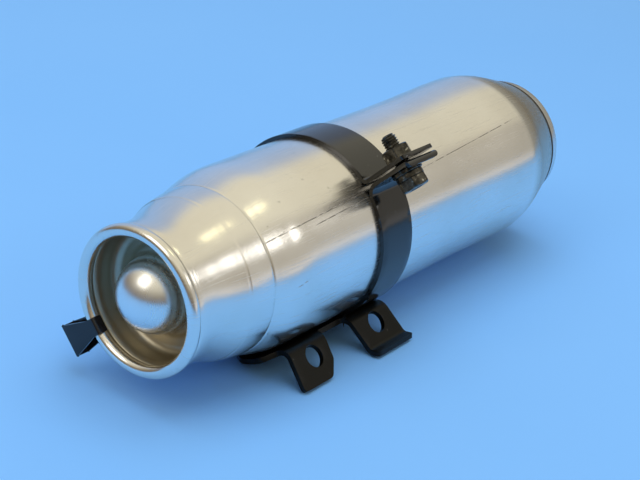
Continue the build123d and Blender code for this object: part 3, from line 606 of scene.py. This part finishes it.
# ---------------------------------------------------------------- canister
def crease(point, before, after):
    """Rolled groove just before an edge of the shoulder and the edge's small crest."""
    x, r = point
    groove = [(x - 0.8, r - 0.8 * before), (x - 0.4, r - 0.4 * before - 0.22)]
    return groove + [(x, r + 0.05), (x + 0.5, r + 0.5 * after + 0.03)]


def shell_profile():
    """Closed outline of the shell's wall in (station, radius)."""
    edge1, edge2 = STRIP[0], STRIP[-1]
    near = spline(SHOULDER_NEAR, 0.02, 0.4, 0.6)
    strip = spline(STRIP, 0.24, 0.05, 0.8)
    middle = spline(SHOULDER_MID, 0.36, 0.0, 0.8)
    outer = [(7.0, NECK_R), (9.0, NECK_R + 0.02)] + [q for q in near if q[0] < edge1[0] - 0.9]
    outer += crease(edge1, 0.4, 0.24) + [q for q in strip if edge1[0] + 0.6 < q[0] < edge2[0] - 0.9]
    outer += crease(edge2, 0.05, 0.36) + [q for q in middle if q[0] > edge2[0] + 0.6]
    outer += [(x, BODY_R) for x in np.arange(57.5, SWELL[0][0], 2.0)]
    outer += spline(SWELL, 0.0, 0.0, 2.0)
    outer += [(204.5, SWELL_R)]
    outer += spline(SHOULDER_FAR, -0.09, -0.37, 0.6)
    bead = arc(BEAD_R, BEAD_RING_R, BEAD_R, 318, 22, 7)
    neck_bore = NECK_R - WALL
    throat = [(11.0, neck_bore), (5.2, neck_bore), (4.5, 24.3)]
    run_in = [(5.0, 26.30)]
    ledge = SHELL_END - 2.5
    collar_seat = [(SHELL_END, COLLAR_BORE_R), (ledge, COLLAR_BORE_R), (ledge, COLLAR_BORE_R + 1.0)]
    inner = [(x, r - WALL) for x, r in SHOULDER_FAR[2::-1] + SWELL[::-1] + SHOULDER_MID[::-1]]
    inner += [(x + 0.6, r - WALL) for x, r in SHOULDER_NEAR[:0:-1]]
    return throat + bead + run_in + outer + collar_seat + inner


def dents(x, t):
    """Slow hand-scale unevenness of the drawn wall, in millimetres."""
    fade = min(1.0, max(0.0, (x - 8.0) / 30.0)) * min(1.0, max(0.0, (SHELL_END - 3.0 - x) / 10.0))
    p = Vector((x * 0.018, math.cos(t) * 0.9, math.sin(t) * 0.9))
    q = Vector((x * 0.06, math.cos(t) * 2.3 + 5.0, math.sin(t) * 2.3))
    return fade * (0.055 * noise.noise(p) + 0.016 * noise.noise(q))


shell = lathe("shell_skin", shell_profile(), ALUMINIUM, 288, True, dents, smooth_angle=60)
stand_for(shell, "canister", "satin_aluminium", "canister_shell")


def dish_profile():
    """Closed outline of the polished end dish."""
    t = DISH_SHEET
    floor = DOME_CENTRE + DOME_FOOT_R
    foot = (DOME_CENTRE, DOME_R + DOME_FOOT_R)
    corner = (floor - DISH_CORNER_R, DISH_WALL_R - DISH_CORNER_R)
    front = [(DOME_CENTRE - DOME_R, 0.0)] + arc(DOME_CENTRE, 0.0, DOME_R, 179, 90, 3)
    front += arc(*foot, DOME_FOOT_R, -88, 0, 5) + arc(*corner, DISH_CORNER_R, 2, 90, 6)
    front += [(9.0, DISH_WALL_R), (DISH_START + 0.25, DISH_WALL_R), (DISH_START, DISH_WALL_R + 0.3)]
    back = [(DISH_START, DISH_WALL_R + t - 0.2), (DISH_START + 0.25, DISH_WALL_R + t)]
    back += arc(*corner, DISH_CORNER_R + t, 90, 2, 10) + arc(*foot, DOME_FOOT_R + t, 0, -88, 10)
    back += arc(DOME_CENTRE, 0.0, DOME_R - t, 92, 178, 8) + [(DOME_CENTRE - DOME_R + t, 0.0)]
    return front + back


dish = lathe("end_dish_skin", dish_profile(), POLISHED, 256, False, smooth_angle=60)
stand_for(dish, "canister", "polished_aluminium", "end_dish")

SEAL_SECTION = [(SHELL_END, THREAD_R + 0.2), (HEAD_START, THREAD_R + 0.2), (HEAD_START, SEAL_R + 0.3),
                (HEAD_START - SEAL_THICK / 2, SEAL_R + 0.6), (SHELL_END, SEAL_R + 0.3)]
seal = lathe("head_seal_ring", rounded(SEAL_SECTION, 0.2), RUBBER, 160)
stand_for(seal, "seal", "black_rubber", "head_seal")


# ---------------------------------------------------------------- head
def cylinder_tool(x0, x1, r, centre=(0, 0), seg=96):
    """Closed cylinder along the axis, used to cut."""
    profile = [(x0, 0.0), (x0, r), (x1, r), (x1, 0.0)]
    return lathe("tool", profile, MACHINED, seg, False, None, centre)


def head_body():
    """Turned head: chamfered flange, threaded plug below, two tapped ports and the spanner holes."""
    root = THREAD_R - HEAD_THREAD_DEPTH
    profile = [(THREAD_START, 0.0), (THREAD_START, THREAD_R - 0.8), (THREAD_START + 0.8, THREAD_R)]
    for k in range(5):
        x = THREAD_START + 1.1 + k * HEAD_PITCH
        profile += [(x, THREAD_R), (x + 0.55, root), (x + 0.75, root), (x + 1.3, THREAD_R)]
    profile += [(HEAD_START - 2.0, THREAD_R - 0.6), (HEAD_START, THREAD_R - 0.6), (HEAD_START, HEAD_R - 0.3)]
    profile += [(HEAD_START + 0.3, HEAD_R), (HEAD_END - HEAD_EDGE, HEAD_R)]
    profile += [(HEAD_END - HEAD_EDGE + 0.35, HEAD_R - 0.15), (HEAD_END - 0.15, HEAD_R - HEAD_EDGE)]
    profile += [(HEAD_END, HEAD_R - HEAD_EDGE - 0.35), (HEAD_END, 13.0), (HEAD_END, 0.0)]
    body = lathe("head_body", profile, MACHINED, 192, False)
    centre, inlet = (0.0, 0.0), (0.0, INLET_OFFSET)
    below, above = THREAD_START - 1, HEAD_END + 1
    bores = [(HEAD_END - PORT_DEPTH, above, PORT_R, centre), (below, PIPE_SOCKET_END, PIPE_R, centre),
             (PIPE_SOCKET_END - 1, HEAD_END - 1, PIPE_R - 1.4, centre),
             (HEAD_END - INLET_DEPTH, above, PORT_R, inlet),
             (below, HEAD_END - 1, INLET_DRILL_R, inlet), (below, VALVE_POCKET_END, PIPE_R, inlet)]
    for place in (SPANNER_HOLE_RING, -SPANNER_HOLE_RING):
        bores.append((HEAD_END - SPANNER_HOLE_DEPTH, above, SPANNER_HOLE_R, (place, 0.0)))
    tools = [cylinder_tool(*bore) for bore in bores]
    deep, proud = HEAD_END - 0.9, HEAD_END + 0.2
    flare = [(deep, 0.0), (deep, PORT_R - 0.05), (proud, PORT_R + 1.05), (proud, 0.0)]
    for mouth in (centre, inlet):
        tools.append(lathe("tool", flare, MACHINED, 96, False, None, mouth))
    cut(body, tools)
    return body


head_skin = head_body()
stand_for(head_skin, "head", "machined_aluminium", "head")


def port_thread(name, depth, centre):
    """Thread ridge inside a tapped port: a thin-walled helical sleeve."""
    verts, faces = [], []
    seg, turns = 40, int(depth / PORT_PITCH * 40)
    section = [(-0.55, 0.0), (0.0, -0.55), (0.55, 0.0), (0.0, 0.05)]
    for i in range(turns + 1):
        t = TAU * i / seg
        x = HEAD_END - 1.3 - PORT_PITCH * i / seg
        if x < HEAD_END - depth + 0.6:
            break
        for dx, dr in section:
            verts.append(ring_point(x + dx, PORT_R + dr, t, centre))
    rows = len(verts) // 4
    for i in range(rows - 1):
        for k in range(4):
            k2 = (k + 1) % 4
            faces.append((i * 4 + k, i * 4 + k2, i * 4 + 4 + k2, i * 4 + 4 + k))
    faces += [(0, 1, 2, 3), tuple((rows - 1) * 4 + k for k in (3, 2, 1, 0))]
    obj = new_object(name, verts, faces, MACHINED, 50)
    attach(obj, "head")
    return obj


port_thread("outlet_thread", PORT_DEPTH, (0.0, 0.0))
port_thread("inlet_thread", INLET_DEPTH, (0.0, INLET_OFFSET))


# ---------------------------------------------------------------- clamp band
def in_section(angle, x, u, v):
    """World point for a cross-section point (u round, v out) at a station."""
    return (Vector(((x - HEAD_END), 0, 0)) + tangent(angle) * u + radial(angle) * v) * MM


def band_track():
    """Middle line of the band: upper ear, bend, ring, bend, lower ear and the lip at its tip."""
    h = BAND_SHEET / 2
    rc = BAND_BORE_R + h
    mid = EAR_GAP / 2 + h

    def root(bend_r):
        height = math.sqrt((rc + bend_r) ** 2 - (mid + bend_r) ** 2)
        return height, math.degrees(math.atan2(mid + bend_r, height))

    up_height, up_lean = root(UPPER_BEND_R)
    low_height, low_lean = root(LOWER_BEND_R)
    lip_t, lip_v = -mid - EAR_LIP_BEND_R, EAR_TIP - h - EAR_LIP_BEND_R
    return Track(("line", (mid, EAR_TIP), (mid, up_height)),
                 ("arc", (mid + UPPER_BEND_R, up_height), UPPER_BEND_R, 180, 270 - up_lean),
                 ("arc", (0, 0), rc, 90 - up_lean, 90 + low_lean - 360),
                 ("arc", (-mid - LOWER_BEND_R, low_height), LOWER_BEND_R, low_lean - 90, 0),
                 ("line", (-mid, low_height), (-mid, lip_v)),
                 ("arc", (lip_t, lip_v), EAR_LIP_BEND_R, 0, 90),
                 ("line", (lip_t, EAR_TIP - h), (lip_t - EAR_LIP_RUN, EAR_TIP - h)))


def make_band():
    track = band_track()
    total = track.ends[-1]
    middle = (BAND0 + BAND1) / 2
    lower_ear = track.ends[5] - (EAR_TIP - BAND_SHEET / 2 - EAR_LIP_BEND_R - BOLT_HEIGHT)
    holes = [circle_points(middle, EAR_TIP - BOLT_HEIGHT, 3.3), circle_points(middle, lower_ear, 3.3)]

    def place(x, s):
        u, v = track.at(s)
        return in_section(EAR_ANGLE, x, u, v)

    r = EAR_CORNER_R
    outline = rounded_outline([(BAND0, 0.0, r), (BAND1, 0.0, r), (BAND1, total, 2.2), (BAND0, total, 2.2)])
    return sheet("band_strip", outline, holes, place, track.cuts(2.5)[1:-1], BAND_SHEET, BAND_PAINT, 0.3)


band = make_band()
stand_for(band, "mount", "black_band", "clamp_band")


# ---------------------------------------------------------------- bracket
def bracket_tracks():
    """Middle lines of the bracket's sheet: without the lip, and with it."""
    rc = SADDLE_R
    height = math.sqrt((rc + TAB_BEND_R) ** 2 - TAB_BEND_R**2)
    lean = math.degrees(math.atan2(TAB_BEND_R, height))
    far = 90 + (TAB_ANGLE - SADDLE_FAR_ANGLE)
    ring = ("arc", (0, 0), rc, far, 90 + lean)
    bend = ("arc", (-TAB_BEND_R, height), TAB_BEND_R, lean - 90, 0)
    plain = Track(ring, bend, ("line", (0, height), (0, 60.0)))
    lip_r, lip_a, lip_v = 3.0, 55.0, 51.7
    end = (lip_r - lip_r * math.cos(math.radians(lip_a)), lip_v + lip_r * math.sin(math.radians(lip_a)))
    run = (math.sin(math.radians(lip_a)) * 8, math.cos(math.radians(lip_a)) * 8)
    lipped = Track(ring, bend, ("line", (0, height), (0, lip_v)),
                   ("arc", (lip_r, lip_v), lip_r, 180, 180 - lip_a),
                   ("line", end, (end[0] + run[0], end[1] + run[1])))
    return plain, lipped, height


def make_bracket():
    plain, lipped, height = bracket_tracks()
    base = plain.ends[1]
    top = plain.ends[2]

    def up(v):
        """Flat coordinate of a height on a tab."""
        return top + v - height

    def turned(angle):
        """Flat coordinate of an angle on the saddle."""
        return SADDLE_R * math.radians(angle - SADDLE_FAR_ANGLE)

    seam = 82.0
    lip_end = lipped.ends[4] + 2.7
    outline = rounded_outline([
        (NOSE_BACK, 0.0, 3.0), (SADDLE1, 0.0, 4.0), (SADDLE1, base - 1.5, 1.2), (113.0, up(39.0), 2.5),
        (115.5, up(52.0), 0.8), (115.9, lip_end, 0.8), (93.0, lip_end, 2.2), (93.0, up(52.0), 0.8),
        (90.4, up(39.5), 2.0), (89.6, base + 0.8, 1.5), (75.2, base + 0.8, 1.5),
        (74.2, up(39.5), 2.0), (73.0, up(48.5), 1.0), (68.3, up(54.4), 1.5), (51.9, up(54.4), 2.0),
        (53.4, up(39.5), 2.0), (53.4, base - 0.8, 1.2),
        (SADDLE0, base - 4.0, 2.5), (SADDLE0, turned(NOSE_ANGLES[0]), 2.0),
        (NOSE_BACK, turned(NOSE_ANGLES[1]), 5.0)])
    holes = [circle_points(x, up(TAB_HOLE_HEIGHT), TAB_HOLE_R) for x in TAB_HOLES]

    def place(x, s):
        u, v = (lipped if x > seam else plain).at(s)
        return in_section(TAB_ANGLE, x, u, v)

    cuts = sorted(set([c for c in lipped.cuts(3.0) if 0.01 < c < lip_end - 0.01]))
    return sheet("bracket_plate", outline, holes, place, cuts, PLATE, BRACKET_PAINT, 0.3)


bracket = make_bracket()
stand_for(bracket, "mount", "black_bracket", "bracket")


# ---------------------------------------------------------------- rim clip
def make_clip():
    """Folded spring strip: inner lip, face plate that widens outwards, top fold, back plate."""
    h = CLIP_SHEET / 2
    face = -CLIP_PLAY - h
    back = 2 * BEAD_R + CLIP_PLAY + h
    lip_r = CLIP_LIP_R - h
    top = CLIP_TOP_R - h
    r = CLIP_BEND_R
    track = Track(("line", (CLIP_LIP_END, lip_r), (face + r, lip_r)),
                  ("arc", (face + r, lip_r + r), r, 270, 180),
                  ("line", (face, lip_r + r), (face, top - r)), ("arc", (face + r, top - r), r, 180, 90),
                  ("line", (face + r, top), (back - r, top)), ("arc", (back - r, top - r), r, 90, 0),
                  ("line", (back, top - r), (back, NECK_R + 0.15)))
    e = track.ends
    waist = e[2] + CLIP_WAIST_R - lip_r - r
    widths = (CLIP_LIP_WIDTH, CLIP_WAIST_WIDTH, CLIP_TOP_WIDTH, CLIP_BACK_WIDTH)
    lip_w, waist_w, top_w, back_w = (w / 2 for w in widths)
    right = [(lip_w, e[0], 0.6), (lip_w, e[2], 0), (waist_w, waist, 0), (top_w, e[3] + r / 2, 0.3),
             (top_w, e[6] - r / 2, 0.3), (back_w, e[7], 0.6)]
    outline = rounded_outline(right + [(-w, s, c) for w, s, c in right[::-1]])

    def place(w, s):
        x, v = track.at(s)
        return (Vector((x - HEAD_END, 0, 0)) + radial(CLIP_ANGLE) * v + tangent(CLIP_ANGLE) * w) * MM

    cuts = track.cuts(15.0)[1:-1] + [(e[2] + e[3]) / 2]
    return sheet("rim_clip_strip", outline, [], place, cuts, CLIP_SHEET, CLIP_STEEL, 0.12)


clip = make_clip()
stand_for(clip, "clip", "spring_steel_black", "rim_clip")


# ---------------------------------------------------------------- fasteners
SCREW_X = (BAND0 + BAND1) / 2
EAR_FACE = EAR_GAP / 2 + BAND_SHEET
HEAD_SEAT = EAR_FACE + WASHER_THICK + SPRING_WASHER_HEIGHT


def on_screw(side, spin=0.0):
    """Matrix from +Z onto the clamp screw's axis, at a distance from the ears' middle plane."""
    z = tangent(EAR_ANGLE)
    x = Vector((1, 0, 0))
    y = z.cross(x)
    origin = (Vector((SCREW_X - HEAD_END, 0, 0)) + radial(EAR_ANGLE) * BOLT_HEIGHT + z * side) * MM
    basis = Matrix((x, y, z)).transposed().to_4x4()
    return Matrix.Translation(origin) @ basis @ Matrix.Rotation(math.radians(spin), 4, "Z")


def loop_solid(name, rings, material, place, close_ends=True, smooth_angle=35):
    """Closed solid from a run of rings of equal count, each a list of (x, y, z) in millimetres."""
    n = len(rings[0])
    verts = [place @ (Vector(p) * MM) for ring in rings for p in ring]
    faces = []
    last = len(rings) - 1 if close_ends else len(rings)
    for i in range(last):
        j = (i + 1) % len(rings)
        for k in range(n):
            k2 = (k + 1) % n
            faces.append((i * n + k, i * n + k2, j * n + k2, j * n + k))
    if close_ends:
        faces.append(tuple(range(n))[::-1])
        faces.append(tuple((len(rings) - 1) * n + k for k in range(n)))
    return new_object(name, verts, faces, material, smooth_angle)


def hex_radius(t, flats, corner=0.35):
    """Radius of a hexagon at an angle, its corners slightly blunted."""
    a = (t + math.pi / 6) % (math.pi / 3) - math.pi / 6
    full = flats / 2 / math.cos(a)
    return min(full, flats / 2 / math.cos(math.pi / 6) - corner * 0.25)


HEX_STEPS = 120


def hex_ring(z_of, r_of):
    """One turn of points whose height and radius are functions of the angle."""
    turns = (TAU * k / HEX_STEPS for k in range(HEX_STEPS))
    return [(r_of(t) * math.cos(t), r_of(t) * math.sin(t), z_of(t)) for t in turns]


def hex_side(flats, z0, z1, chamfer0, chamfer1):
    """Rings up the outside of a hexagon with 30 degree chamfers on either end."""
    flat_r = flats / 2 * 0.94
    slope = math.tan(math.radians(30))

    def drop(t):
        return (hex_radius(t, flats) - flat_r) * slope

    rings = [hex_ring(lambda t: z0, lambda t: flat_r if chamfer0 else hex_radius(t, flats) - 0.15)]
    rings.append(hex_ring(lambda t: z0 + (drop(t) if chamfer0 else 0.15), lambda t: hex_radius(t, flats)))
    rings.append(hex_ring(lambda t: z1 - (drop(t) if chamfer1 else 0.15), lambda t: hex_radius(t, flats)))
    rings.append(hex_ring(lambda t: z1, lambda t: flat_r if chamfer1 else hex_radius(t, flats) - 0.15))
    return rings


def round_ring(r, z):
    """One turn of points at a radius and height."""
    return hex_ring(lambda t: z, lambda t: r)


def make_screw():
    """Hexagon head with a shallow crown dish, shank and a rolled helical thread in one skin."""
    length, r, root, pitch = SCREW_LENGTH, SCREW_R, SCREW_ROOT_R, SCREW_PITCH
    dished = 0.25 - SCREW_HEAD
    rings = [round_ring(0.05, dished), round_ring(2.6, dished), round_ring(3.1, -SCREW_HEAD)]
    side = hex_side(HEX_FLATS, -SCREW_HEAD, 0.0, True, False)
    rings += side + [round_ring(3.35, 0.0), round_ring(r + 0.02, 0.25)]
    z = 0.25
    step = pitch / 14
    while z < length:
        taper = max(0.0, (z - (length - 1.1)) / 1.1)
        engaged = min(1.0, max(0.0, (z - 2.2) / 1.2))

        def thread_r(t, z=z, taper=taper, engaged=engaged):
            phase = (z / pitch - t / TAU) % 1.0
            ridge = min(1.0, max(0.0, (abs(phase * 2 - 1) - 0.12) * 1.35))
            depth = (r - root) * engaged
            return r - depth * (1 - ridge) - taper * 0.75

        rings.append(hex_ring(lambda t, z=z: z, thread_r))
        z += step
    rings += [round_ring(1.9, length), round_ring(0.05, length)]
    return loop_solid("clamp_screw_body", rings, OXIDE, on_screw(-HEAD_SEAT, 11), True, 40)


def make_nut():
    """Hexagon nut with both faces chamfered and a countersunk bore."""
    h = NUT_HEIGHT
    rings = [round_ring(3.45, 0.0)] + hex_side(HEX_FLATS, 0.0, h, True, True) + [round_ring(3.5, h)]
    rings += [round_ring(3.02, h - 0.45), round_ring(3.02, 0.45)]
    return loop_solid("clamp_nut_body", rings, OXIDE, on_screw(EAR_FACE, 4), False, 35)


def make_washer():
    """Plain washer with its outer edges rounded."""
    r, low = WASHER_R, -WASHER_THICK
    rings = [round_ring(WASHER_BORE_R, low), round_ring(r - 0.25, low), round_ring(r, low + 0.2),
             round_ring(r, -0.2), round_ring(r - 0.25, 0.0), round_ring(WASHER_BORE_R, 0.0)]
    return loop_solid("flat_washer_ring", rings, OXIDE, on_screw(-EAR_FACE), False, 35)


def make_spring_washer():
    """Split washer of near-square section."""
    rings = []
    count = 72
    gap = math.radians(8)
    low = 0.05 - SPRING_WASHER_HEIGHT
    for k in range(count + 1):
        t = math.radians(35) + gap / 2 + (TAU - gap) * k / count
        section = rounded([(WASHER_BORE_R, low), (SPRING_WASHER_R, low), (SPRING_WASHER_R, -0.05),
                           (WASHER_BORE_R, -0.05)], 0.2, 3)
        rings.append([(rr * math.cos(t), rr * math.sin(t), zz) for rr, zz in section])
    return loop_solid("spring_washer_ring", rings, OXIDE, on_screw(-EAR_FACE - WASHER_THICK), True, 35)


screw = make_screw()
stand_for(screw, "screw", "black_oxide", "clamp_screw")
nut = make_nut()
stand_for(nut, "mount", "black_oxide", "clamp_nut")
washer = make_washer()
stand_for(washer, "washers", "black_oxide", "flat_washer")
lock = make_spring_washer()
stand_for(lock, "washers", "black_oxide", "spring_washer")


# ---------------------------------------------------------------- studio
def make_floor():
    """Plain pale blue floor, large enough to fill every view."""
    size = 8.0
    z = cad_box[0][2] - 0.0002
    p = Paint("floor_pale")
    soft = p.noise(p.coords, 3.0, 3.0)
    colour = p.mix(p.ramp(soft, 0.3, 0.7), (0.22, 0.49, 0.95, 1), (0.235, 0.505, 0.96, 1))
    p.finish(colour, 0.0, 0.75, None, Specular_IOR_Level=0.1)
    verts = [(-size, -size, z), (size, -size, z), (size, size, z), (-size, size, z)]
    floor = new_object("studio_floor", verts, [(0, 1, 2, 3)], p.mat)


def softbox(name, azimuth, elevation, distance, size, radiance, colour, mirrored=True):
    """Square area light of a given brightness, aimed at the part from a direction in degrees."""
    a, e = math.radians(azimuth), math.radians(elevation)
    away = Vector((math.cos(e) * math.cos(a), math.cos(e) * math.sin(a), math.sin(e)))
    data = bpy.data.lights.new(name, "AREA")
    data.size = size
    data.energy = radiance * math.pi * size**2
    data.color = colour
    obj = bpy.data.objects.new(name, data)
    bpy.context.scene.collection.objects.link(obj)
    obj.visible_glossy = mirrored
    obj.location = CENTRE + away * distance
    obj.rotation_euler = (-away).to_track_quat("-Z", "Y").to_euler()


def colour_ramp(tree, value, stops):
    """Smooth colour ramp from (position, brightness-scaled colour) stops."""
    ramp = tree.nodes.new("ShaderNodeValToRGB")
    tree.links.new(value, ramp.inputs[0])
    marks = ramp.color_ramp.elements
    while len(marks) < len(stops):
        marks.new(0.5)
    for mark, (position, colour) in zip(marks, stops):
        mark.position, mark.color = position, (*colour, 1.0)
    return ramp.outputs[0]


def world_light():
    """Soft room: warm ceiling, a dull warm wall and a cool one, grey ahead, brown behind the camera."""
    world = bpy.data.worlds.new("studio")
    bpy.context.scene.world = world
    world.use_nodes = True
    tree = world.node_tree
    split = tree.nodes.new("ShaderNodeSeparateXYZ")
    tree.links.new(tree.nodes.new("ShaderNodeTexCoord").outputs["Generated"], split.inputs[0])

    def maths(operation, a, b):
        node = tree.nodes.new("ShaderNodeMath")
        node.operation = operation
        for socket, value in zip(node.inputs, (a, b)):
            if isinstance(value, bpy.types.NodeSocket):
                tree.links.new(value, socket)
            else:
                socket.default_value = value
        return node.outputs[0]

    back = maths("MULTIPLY", split.outputs[1], -1.0)
    turn = maths("DIVIDE", maths("ARCTAN2", split.outputs[2], back), math.pi)
    room = colour_ramp(tree, turn, [(0.0, HORIZON), (0.03, HORIZON), (0.07, WALL_LOW),
                                    (0.28, WALL_HIGH), (0.35, CEILING), (0.66, CEILING),
                                    (0.75, COOL_HIGH), (0.95, COOL_LOW)])
    behind = colour_ramp(tree, split.outputs[2], [(0.0, BROWN_LOW), (0.3, BROWN), (0.75, CEILING)])
    side = tree.nodes.new("ShaderNodeMapRange")
    side.interpolation_type = "SMOOTHSTEP"
    tree.links.new(split.outputs[0], side.inputs[0])
    side.inputs[1].default_value, side.inputs[2].default_value = -0.35, 0.25
    end = tree.nodes.new("ShaderNodeMapRange")
    end.interpolation_type = "SMOOTHSTEP"
    tree.links.new(split.outputs[0], end.inputs[0])
    end.inputs[1].default_value, end.inputs[2].default_value = 0.80, 0.92

    def blend(factor, a, b):
        node = tree.nodes.new("ShaderNodeMix")
        node.data_type = "RGBA"
        for socket, value in ((0, factor), (6, a), (7, b)):
            if isinstance(value, bpy.types.NodeSocket):
                tree.links.new(value, node.inputs[socket])
            else:
                node.inputs[socket].default_value = (*value, 1.0)
        return node.outputs[2]

    colour = blend(side.outputs[0], behind, blend(end.outputs[0], room, END_WALL))
    tree.links.new(colour, tree.nodes["Background"].inputs[0])
    tree.nodes["Background"].inputs[1].default_value = 1.0


def make_camera():
    """Camera a little above the part, off its closed end, as in a product photograph."""
    data = bpy.data.cameras.new("view")
    data.sensor_width = 36.0
    data.lens = CAMERA_LENS
    data.clip_start = 0.01
    obj = bpy.data.objects.new("view", data)
    bpy.context.scene.collection.objects.link(obj)
    right, forward = Vector(CAMERA_RIGHT).normalized(), Vector(CAMERA_FORWARD)
    forward = (forward - right * forward.dot(right)).normalized()
    basis = Matrix((right, right.cross(forward), -forward)).transposed().to_4x4()
    obj.matrix_world = Matrix.Translation(CAMERA_PLACE) @ basis
    bpy.context.scene.camera = obj


CENTRE = Vector(((110.0 - HEAD_END) * MM, 0.0, 0.0))
CAMERA_PLACE = Vector((-319.5 - HEAD_END, -286.7, 239.8)) * MM
CAMERA_RIGHT, CAMERA_FORWARD = (0.60583, -0.78520, 0.12814), (0.74528, 0.50374, -0.43681)
CAMERA_LENS = 82.29
CEILING, HORIZON = (0.78, 0.73, 0.58), (0.74, 0.72, 0.70)
WALL_LOW, WALL_HIGH = (0.50, 0.47, 0.41), (0.53, 0.49, 0.41)
COOL_HIGH, COOL_LOW = (0.45, 0.53, 0.68), (0.34, 0.52, 0.84)
BROWN_LOW, BROWN = (0.16, 0.13, 0.10), (0.26, 0.22, 0.16)
END_WALL = (0.30, 0.29, 0.25)
bpy.context.scene.view_settings.view_transform = "Standard"
make_floor()
world_light()
make_camera()
softbox("light_window", -82, 39, 1.4, 0.32, 2.0, (1.0, 0.99, 0.97))
softbox("light_side", -54, 33, 1.4, 0.28, 2.0, (1.0, 0.99, 0.97))
softbox("light_lamp", -45, 75, 1.4, 0.22, 1.9, (1.0, 0.93, 0.55))
softbox("light_front", 163, 45, 1.4, 0.70, 1.8, (1.0, 0.99, 0.97))
softbox("light_overhead", 0, 90, 1.4, 1.2, 2.3, (0.55, 0.80, 1.0), mirrored=False)
